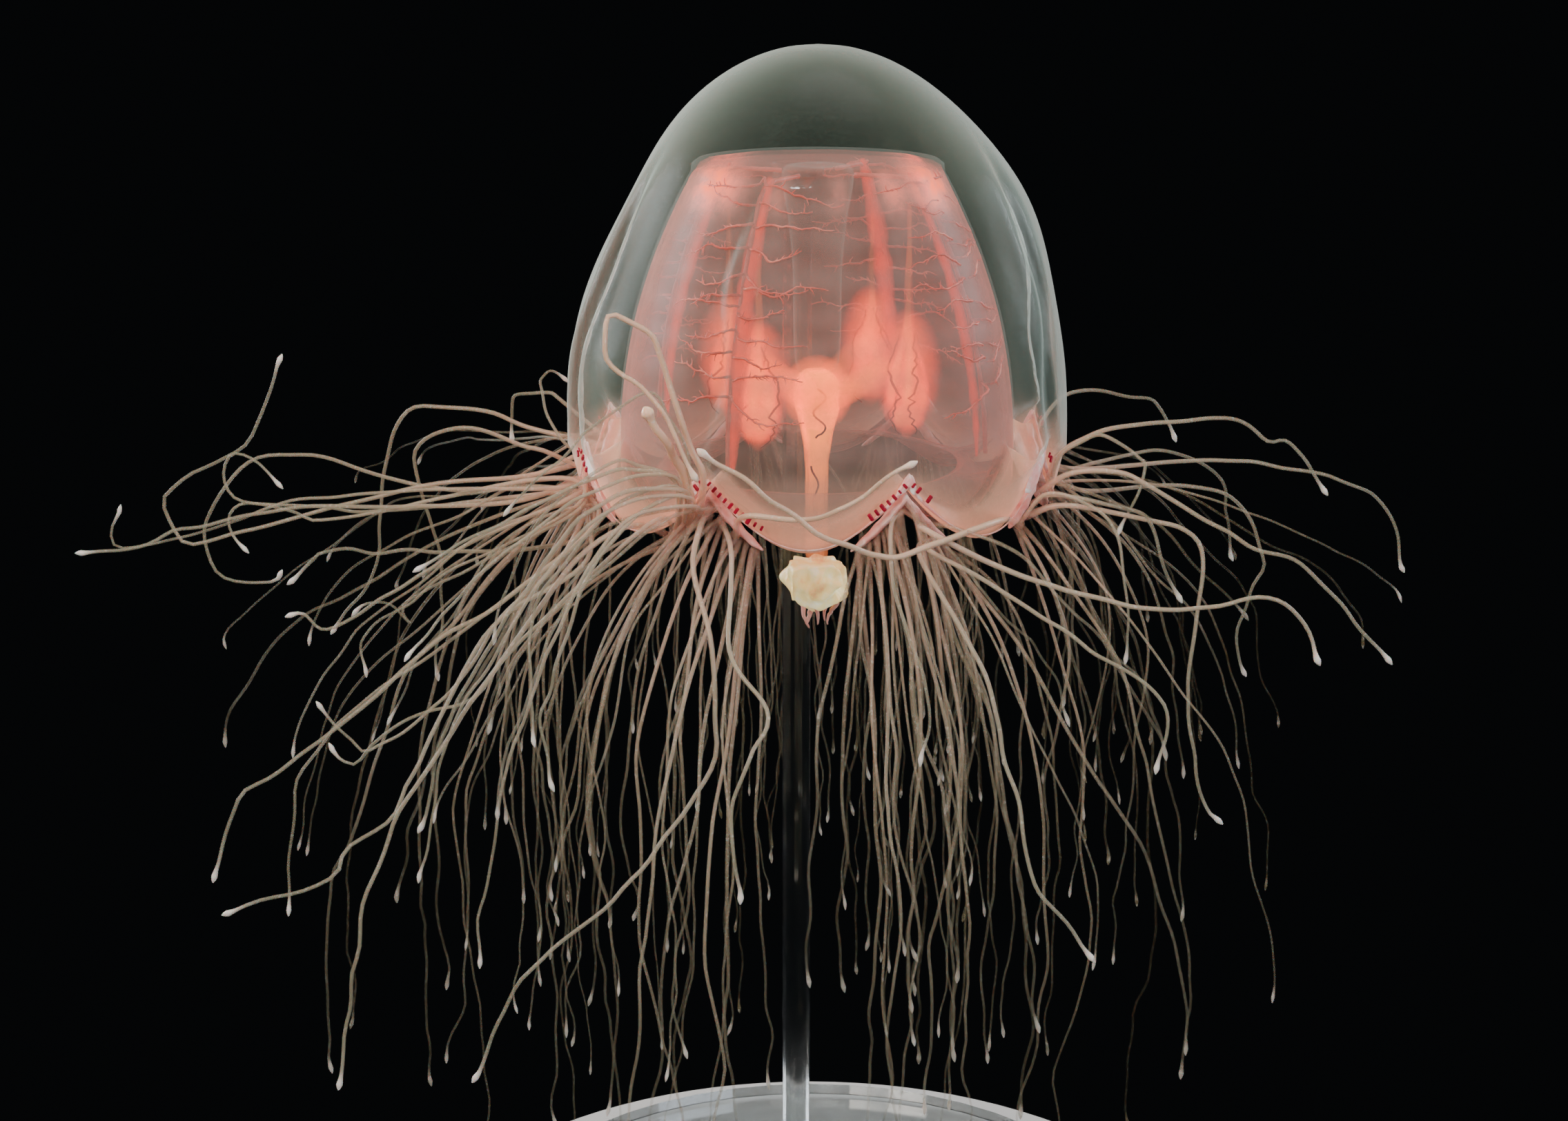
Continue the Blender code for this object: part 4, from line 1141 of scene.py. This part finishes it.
# further tentacles that pass through points of their own
placed = [
    (1, -0.6, [(-14, -32, 116.5), (-16, -31.5, 121), (-19, -31, 123.5), (-30.5, -30, 114),
        (-34, -30, 109.5)]),
    (7, 0.9, [(-32.5, 4, 109.5), (-35.5, 5, 110), (-41, 5.5, 112), (-45.5, 6.5, 111.5), (-48.5, 7, 109.5),
        (-49, 7.5, 106), (-46.5, 8.5, 95), (-47.5, 9, 78.5)]),
    (0, -0.6, [(-27, -18, 104), (-50.5, -24, 87.5), (-55.5, -25.5, 83), (-58, -27, 79.5), (-59, -28, 74.5),
        (-59.5, -29, 63.5)]),
    (0, 0.5, [(-30, -16, 100.5), (-36, -17.5, 95), (-40.5, -19, 88.5), (-50, -22.5, 81), (-53, -23, 82),
        (-56, -24, 87)]),
    (0, 0.3, [(-29.5, -14, 107.5), (-40.5, -14.5, 102.5), (-50, -15.5, 96), (-56.5, -16, 93.5),
        (-59, -16, 95), (-61, -16, 94.5)]),
    (7, -0.7, [(-30.5, 10, 109), (-34, 13.5, 115.5), (-34, 14.5, 117), (-33, 15.5, 117.5),
        (-31, 16, 115.5)]),
    (1, -0.75, [(-15.5, -31, 114), (-19.5, -32, 116), (-22, -32.5, 116.5), (-28, -33, 112.5),
        (-32, -33.5, 107), (-35.5, -34, 97)]),
    (2, 0.7, [(11.5, -33, 107), (18.5, -35.5, 103.5), (35.5, -41, 93), (35, -42, 85)]),
    (2, -0.1, [(7.5, -32, 109), (8, -40, 103), (11, -48, 95), (10, -50, 88.5)]),
    (3, 0.5, [(27.5, -12, 112.5), (30, -13, 114.5), (32.5, -14.5, 115.5), (36, -16, 113),
        (36.5, -17, 111.5), (33.5, -18, 104.5)]),
    (4, 0.0, [(29.5, 10, 106), (35, 11.5, 106.5), (42.5, 14, 107.5), (48, 16, 106), (52, 17.5, 102.5),
        (53, 19, 93.5), (53.5, 19, 92)]),
    (3, -0.5, [(26.5, -16, 109), (34.5, -18.5, 108), (37, -19.5, 106.5), (38.5, -21.5, 101.5),
        (40.5, -22, 98)]),
    (3, -0.9, [(25.5, -18, 109.5), (29.5, -20, 109), (32.5, -23.5, 106.5), (34, -27, 98.5),
        (33.5, -28, 92.5)]),
    (1, 0.3, [(-9.5, -36, 107.5), (-9.5, -46, 100), (-5.5, -50.5, 94), (-7, -52.5, 90.5), (-9, -53.5, 85),
        (-8.5, -54, 75)]),
    (0, -0.2, [(-26.5, -12, 103.5), (-35, -14, 102), (-53.5, -19, 103), (-56.5, -19.5, 102.5),
        (-60, -20, 99.5)]),
    (0, 0.6, [(-30.5, -12, 110), (-55, -13, 105.5), (-59.5, -13, 106), (-66, -13.5, 108),
        (-67.5, -13.5, 110), (-67, -13.5, 112.5), (-65.5, -14, 113.5), (-63.5, -14, 112.5),
        (-60.5, -14, 109)]),
    (0, 0.15, [(-30.5, -13, 109), (-43, -13.5, 109), (-61, -14, 107.5), (-66.5, -14, 105.5),
        (-79.5, -14.5, 102.5), (-79, -15, 108)]),
    (0, 0.4, [(-30.5, -11, 108), (-49.5, -11.5, 106), (-63, -12.5, 107), (-68, -12.5, 105.5),
        (-65.5, -13, 101.5)]),
    (0, -0.35, [(-28, -16, 106.5), (-45, -18, 98), (-47, -18.5, 96), (-45.5, -19, 94.5), (-48.5, -19.5, 97),
        (-51, -20, 97.5), (-52.5, -20, 96)]),
    (0, 0.0, [(-28, -15, 107), (-42, -16, 100), (-51, -17.5, 93), (-52, -17.5, 91.5), (-51.5, -18, 87.5)]),
    (1, -0.8, [(-18.5, -30, 109), (-33.5, -31.5, 95), (-38, -32, 90), (-45.5, -33, 88), (-50, -33.5, 83),
        (-52, -34, 83.5), (-53, -34, 85.5)]),
    (1, -0.7, [(-14, -32, 113), (-17.5, -34, 114), (-20.5, -35.5, 114), (-23.5, -37, 112.5),
        (-27, -38.5, 109.5), (-37.5, -41, 94), (-43, -42, 79)]),
    (1, -0.5, [(-13.5, -33, 112.5), (-17.5, -35.5, 113.5), (-21, -37.5, 113), (-24.5, -39.5, 111),
        (-28, -41, 107), (-31.5, -42.5, 102.5), (-38.5, -45, 90), (-40.5, -45.5, 82.5), (-42, -46, 74)]),
    (1, -0.3, [(-13, -34, 112), (-16.5, -36.5, 112.5), (-20, -39, 112), (-23, -41, 109), (-26, -43, 104),
        (-31, -46, 91.5), (-33.5, -47, 84), (-36, -48, 65.5)]),
    (1, -0.8, [(-15, -31, 114), (-19, -32.5, 115), (-23.5, -34, 114), (-27.5, -35.5, 112),
        (-36.5, -37, 105), (-44, -38, 96)]),
    (1, -0.95, [(-15, -32, 113.5), (-19, -34, 113.5), (-22.5, -35.5, 111.5), (-29, -38, 103.5),
        (-30.5, -39, 98.5), (-30.5, -40, 87.5)]),
    (1, -0.6, [(-14.5, -33, 113), (-18.5, -35.5, 112), (-21.5, -38, 109.5), (-24.5, -40, 106),
        (-28, -42.5, 95.5), (-29, -43.5, 89.5), (-28, -44, 83.5)]),
    (1, -0.85, [(-15.5, -31, 114), (-19.5, -32, 115.5), (-23.5, -32.5, 115), (-35.5, -34.5, 109.5),
        (-43, -35, 105)]),
]
threads = {
    "sides": 7, "rings": 60, "rootRadius": 0.33 * mm, "tipRadius": 0.165 * mm, "knob": 1.85,
    "lowest": 13 * mm, "tipShare": 0.13, "tipLength": 2.6 * mm, "points": 56, "spare": 2 * mm, "seed": 23,
}
kinks = {"slow": 14 * mm, "slowReach": 2.1 * mm, "fast": 4.6 * mm, "fastReach": 0.75 * mm}
# how the loose tentacles of a cluster are shared out: slope, reach and fall (mm), each a range
habits = {
    "hanging": ((-75, -35), (4, 18), (30, 94)),
    "fanned": ((-38, -8), (15, 38), (25, 78)),
    "streaming": ((-8, 18), (22, 46), (4, 36)),
}
# each cluster's shares of those, its lean and its spread round the bell (degrees), its number of
# loose tentacles, how dark they are, a painted shade that is deeper on the clusters at the back,
# and how long
leanings = [
    ((0.38, 0.32, 0.30), -6, 34, 22, 0.5, 0.95), ((0.50, 0.40, 0.10), -20, 36, 28, 0.5, 1.0),
    ((0.66, 0.28, 0.06), 4, 30, 32, 0.6, 0.88), ((0.52, 0.36, 0.12), 4, 34, 18, 0.8, 0.72),
    ((0.46, 0.34, 0.20), -4, 34, 16, 0.9, 0.7), ((0.78, 0.17, 0.05), 18, 34, 34, 0.85, 0.9),
    ((0.78, 0.17, 0.05), -16, 34, 34, 0.85, 0.9), ((0.40, 0.30, 0.30), 6, 34, 18, 0.8, 0.85),
]


# the tentacles that stand out from the rest: how thick and how dark, as painted shade (less than
# nothing is paler, a painted light)
special = {
    "loop": (1.4, -0.6), "stub": (2.5, -1.0), "raised": (1.4, -0.5), "draped": (1.55, -0.5),
    "crossing": (1.3, -0.1),
}


def droopRoute(root, angle, slope, reach, fall):
    outward = around(angle, 1, 0)
    up = Vector((0, 0, 1))
    tip = root + outward * reach * mm - up * fall * mm
    tip.z = max(tip.z, threads["lowest"])
    drive = 0.42 * (tip - root).length
    start = root + (outward * cos(radians(slope)) + up * sin(radians(slope))) * drive
    end = tip + up * 0.45 * fall * mm - outward * 0.04 * reach * mm
    fine = []
    for i in range(49):
        t = i / 48
        u = 1 - t
        fine.append(root * u ** 3 + start * 3 * u * u * t + end * 3 * u * t * t + tip * t ** 3)
    return fine


def held(point):
    spare = threads["spare"]
    return Vector([clamp(c, low - spare, high + spare) for c, low, high in zip(point, *cadBox)])


# small bends, the slow ones told by loose, fading towards the root
def kinked(route, seed, loose):
    points = []
    shift = Vector((seed * 3.7, seed * 1.9, 0))
    for i, point in enumerate(route):
        share = i / (len(route) - 1)
        slow = noise.noise_vector(point / kinks["slow"] + shift) * kinks["slowReach"]
        fast = noise.noise_vector(point / kinks["fast"] - shift) * kinks["fastReach"]
        points.append(held(point + loose * slow * smooth(share * 2) + fast * smooth(share * 1.3 - 0.2)))
    return points


# its map runs along it and round it
def mapThread(mesh):
    layer = mesh.uv_layers.new(name="OFBake")
    for face in mesh.polygons:
        corners = [mesh.vertices[i].co for i in face.vertices]
        turns = [atan2(corner.y, corner.z) / (2 * pi) + 0.5 for corner in corners]
        wraps = max(turns) - min(turns) > 0.5
        for loop, corner, turn in zip(face.loop_indices, corners, turns):
            side = turn + 1 if wraps and turn < 0.5 else turn
            layer.data[loop].uv = (corner.x, side / 1.2)


def threadGirth(share):
    tip = clamp((share - 1 + threads["tipShare"]) / threads["tipShare"])
    taper = 1 + (threads["tipRadius"] / threads["rootRadius"] - 1) * share ** 0.6
    flare = 1 + 0.3 * hump(share, 0.06)
    knob = 1 + (threads["knob"] - 1) * hump(tip - 0.78, 0.3)
    return taper * flare * knob * sqrt(clamp((1 - share) * threads["rings"] / 2 + 0.06))


# one straight tentacle, a unit long: a circle drawn out ring by ring, flared at its root and
# swollen to a knob at its tip
def threadTemplate():
    turned = (0, pi / 2, 0)
    piece = primitive(bpy.ops.mesh.primitive_circle_add, vertices=threads["sides"], radius=1, rotation=turned)
    activate(piece)
    bpy.ops.object.transform_apply(location=False, rotation=True, scale=False)
    bpy.ops.object.mode_set(mode="EDIT")
    bpy.ops.mesh.select_all(action="SELECT")
    bpy.ops.mesh.edge_face_add()
    for _ in range(threads["rings"]):
        bpy.ops.mesh.extrude_region_move(TRANSFORM_OT_translate={"value": (1 / threads["rings"], 0, 0)})
    bpy.ops.object.mode_set(mode="OBJECT")
    faceOutward(piece)
    mapThread(piece.data)

    def shape(co):
        girth = threadGirth(clamp(co.x))
        return Vector((co.x, co.y * girth, co.z * girth))

    return moved(piece, shape)


# strip of strips is the part of the cluster's map that this tentacle has
def addThread(template, route, width, toneAndShade, strip, strips):
    guide = placeObject("route", lineCurve("route", [(route, [1] * len(route))]))
    length = sum((b - a).length for a, b in zip(route, route[1:]))
    piece = placeObject("thread", template.data.copy())
    paint(piece, "along", lambda co: co.x)
    paint(piece, "toneAndShade", lambda co: toneAndShade)
    tip = threads["tipShare"]
    for vertex in piece.data.vertices:
        x, y, z = vertex.co
        place = x / (1 - tip) * (length - threads["tipLength"])
        if x > 1 - tip:
            place = length - threads["tipLength"] * (1 - x) / tip
        vertex.co = (place, y * width, z * width)
    for place in piece.data.uv_layers["OFBake"].data:
        place.uv = (place.uv[0], (strip + place.uv[1]) / strips)
    bend = piece.modifiers.new("bend", "CURVE")
    bend.object = guide
    activate(piece)
    bpy.ops.object.modifier_apply(modifier="bend")
    bpy.data.objects.remove(guide)
    return piece


def looseRoutes(cluster, dice):
    routes = []
    shares, lean, spread, count, _, length = leanings[cluster]
    middle = clusterAngle(cluster)
    for share, (slopes, reaches, falls) in zip(shares, habits.values()):
        for _ in range(round(share * count)):
            across = dice.uniform(-1, 1)
            jitter = around(middle, dice.uniform(-1.1, 0.5) * mm, dice.uniform(-0.5, 1.0) * mm)
            angle = middle + across * spread + lean + dice.gauss(0, 9)
            fall = dice.triangular(falls[0], falls[1], falls[0] * 0.6 + falls[1] * 0.4)
            slope, reach = dice.uniform(*slopes), dice.uniform(*reaches)
            routes.append(droopRoute(padPoint(cluster, across) + jitter, angle, slope, reach, fall * length))
    return routes


def shapedRoutes(cluster):
    routes = []
    for home, across, points in [*posed.values(), *placed]:
        if home == cluster:
            routes.append(smoothThrough([padPoint(cluster, across)] + [Vector(p) * mm for p in points]))
    return routes


def droopingRoutes(cluster):
    middle = clusterAngle(cluster)
    return [droopRoute(padPoint(cluster, across), middle + turn, slope, reach, fall)
            for home, across, turn, slope, reach, fall in drooping if home == cluster]


def addTentacles(cluster, template, material, dice):
    pieces = []
    shaped = shapedRoutes(cluster)
    routes = shaped + droopingRoutes(cluster) + looseRoutes(cluster, dice)
    names = [name for name, spec in posed.items() if spec[0] == cluster]
    for number, fine in enumerate(routes):
        isLoose = number >= len(shaped)
        route = kinked(evenPoints(fine, threads["points"]), cluster * 40 + number, 1.0 if isLoose else 0.15)
        # the tone is painted shade: the cluster's darkness, varied at random from thread to thread
        width, toneAndShade = dice.uniform(0.62, 0.98), leanings[cluster][4] * dice.uniform(0.5, 1.3)
        if not isLoose:
            width, toneAndShade = dice.uniform(0.88, 1.15), dice.uniform(0.0, 0.22)
        if number < len(names):
            width, toneAndShade = special.get(names[number], (1.15, 0.1))
        pieces.append(addThread(template, route, threads["rootRadius"] * width, toneAndShade, number, len(routes)))
    solids = ["cluster_%d" % (cluster + 1)] + ["tentacle_" + name for name in names]
    solids += ["tentacle_droop_%02d" % i for i, spec in enumerate(drooping) if spec[0] == cluster]
    solids = [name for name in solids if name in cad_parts]
    finishPiece(joined(pieces), "tentacles_%d" % (cluster + 1), material, "tentacle_tissue", *solids)


padStops = ((0.0, "#e58f87"), (0.5, "#f0b0a4"), (1.0, "#f8d8cc"))
flapStops = ((0.0, "#ee9f97"), (0.5, "#f6bfb4"), (0.78, "#fff0e6"))
threadSkin = threadMaterial()
padSkin = tissueMaterial("cluster_pad_tissue", padStops, 1.8, 0.35, 0.05)
flapSkin = tissueMaterial("lobe_flap_tissue", flapStops, 2.2, 0.35, 0.1)
spotSkin = tissueMaterial("eye_spot_pigment", ((0.0, "#8c0f26"), (1.0, "#b4173a")), 1.0, 0.3, 0.05, 0.15)
threadModel = threadTemplate()
spotModel = spotPiece()
for number in range(bell["lobes"]):
    dice = random.Random(threads["seed"] + number)
    addTentacles(number, threadModel, threadSkin, dice)
    pad = joined([addPad(number), addMargin(number)])
    finishPiece(pad, "cluster_pad_%d" % (number + 1), padSkin, "pad_tissue")
    finishPiece(addFlap(number), "lobe_flap_%d" % (number + 1), flapSkin, "pad_tissue")
    rows = joined(addSpots(number, spotModel, dice))
    finishPiece(rows, "eye_spots_%d" % (number + 1), spotSkin, "pad_tissue")
    print("cluster", number + 1)
bpy.data.objects.remove(threadModel)
bpy.data.objects.remove(spotModel)

# the stand keeps its solids
acrylic = acrylicMaterial()
for name in ("stand_base", "stand_rod"):
    solid = bpy.data.objects[name]
    solid.data.materials.clear()
    solid.data.materials.append(acrylic)


# camera, lights, floor
view = {
    "aim": Vector((-3.9 * mm, 0, 97 * mm)), "distance": 300 * mm, "pitch": radians(15), "lens": 57.2,
    "near": 0.02, "far": 10,
}
# place, size, power and colour of each
lights = {
    "key": ((-0.28, -0.46, 0.40), 0.30, 3.4, "#fff4ea"),
    "fill": ((0.40, -0.38, 0.22), 0.35, 1.6, "#eaf2ff"),
    "rim_left": ((-0.50, 0.22, 0.26), 0.30, 4.2, "#f2f7ff"),
    "rim_right": ((0.50, 0.24, 0.28), 0.30, 2.4, "#f2f7ff"),
    "top": ((0.05, 0.10, 0.62), 0.30, 1.6, "#ffffff"),
}
stage = {
    "radius": 56 * mm, "depth": 12 * mm, "drop": 0.1 * mm, "floor": "#b4b2ad", "roughness": 0.7,
    "dark": "#1b1d1f", "darkStrength": 0.25,
}


def addCamera():
    camera = bpy.data.cameras.new("camera")
    camera.lens = view["lens"]
    camera.clip_start = view["near"]
    camera.clip_end = view["far"]
    holder = placeObject("camera", camera)
    pitch = view["pitch"]
    holder.location = view["aim"] + view["distance"] * Vector((0, -cos(pitch), sin(pitch)))
    holder.rotation_euler = (pi / 2 - pitch, 0, 0)
    bpy.context.scene.camera = holder


def addLight(name, place, size, power, code):
    light = bpy.data.lights.new(name, "AREA")
    light.shape = "DISK"
    light.size = size
    light.energy = power
    light.color = hexColour(code)[:3]
    holder = placeObject(name, light)
    holder.location = place
    holder.rotation_euler = (Vector(place) - view["aim"]).to_track_quat("Z", "Y").to_euler()


def addStage():
    floor = primitive(bpy.ops.mesh.primitive_cylinder_add, vertices=96, radius=stage["radius"],
                      depth=stage["depth"], location=(0, 0, -stage["depth"] / 2 - stage["drop"]))
    floor.name = "floor"
    activate(floor)
    bpy.ops.object.transform_apply(location=True, rotation=True, scale=True)
    floor.data.materials.append(plainMaterial("pale_matt_floor", stage["floor"], stage["roughness"]))
    world = bpy.context.scene.world or bpy.data.worlds.new("world")
    bpy.context.scene.world = world
    world.use_nodes = True
    dark = world.node_tree.nodes["Background"].inputs
    dark["Color"].default_value = hexColour(stage["dark"])
    dark["Strength"].default_value = stage["darkStrength"]


addCamera()
for name, values in lights.items():
    addLight(name, *values)
addStage()
bpy.context.scene.cycles.transparent_max_bounces = 40
print("camera and lights")
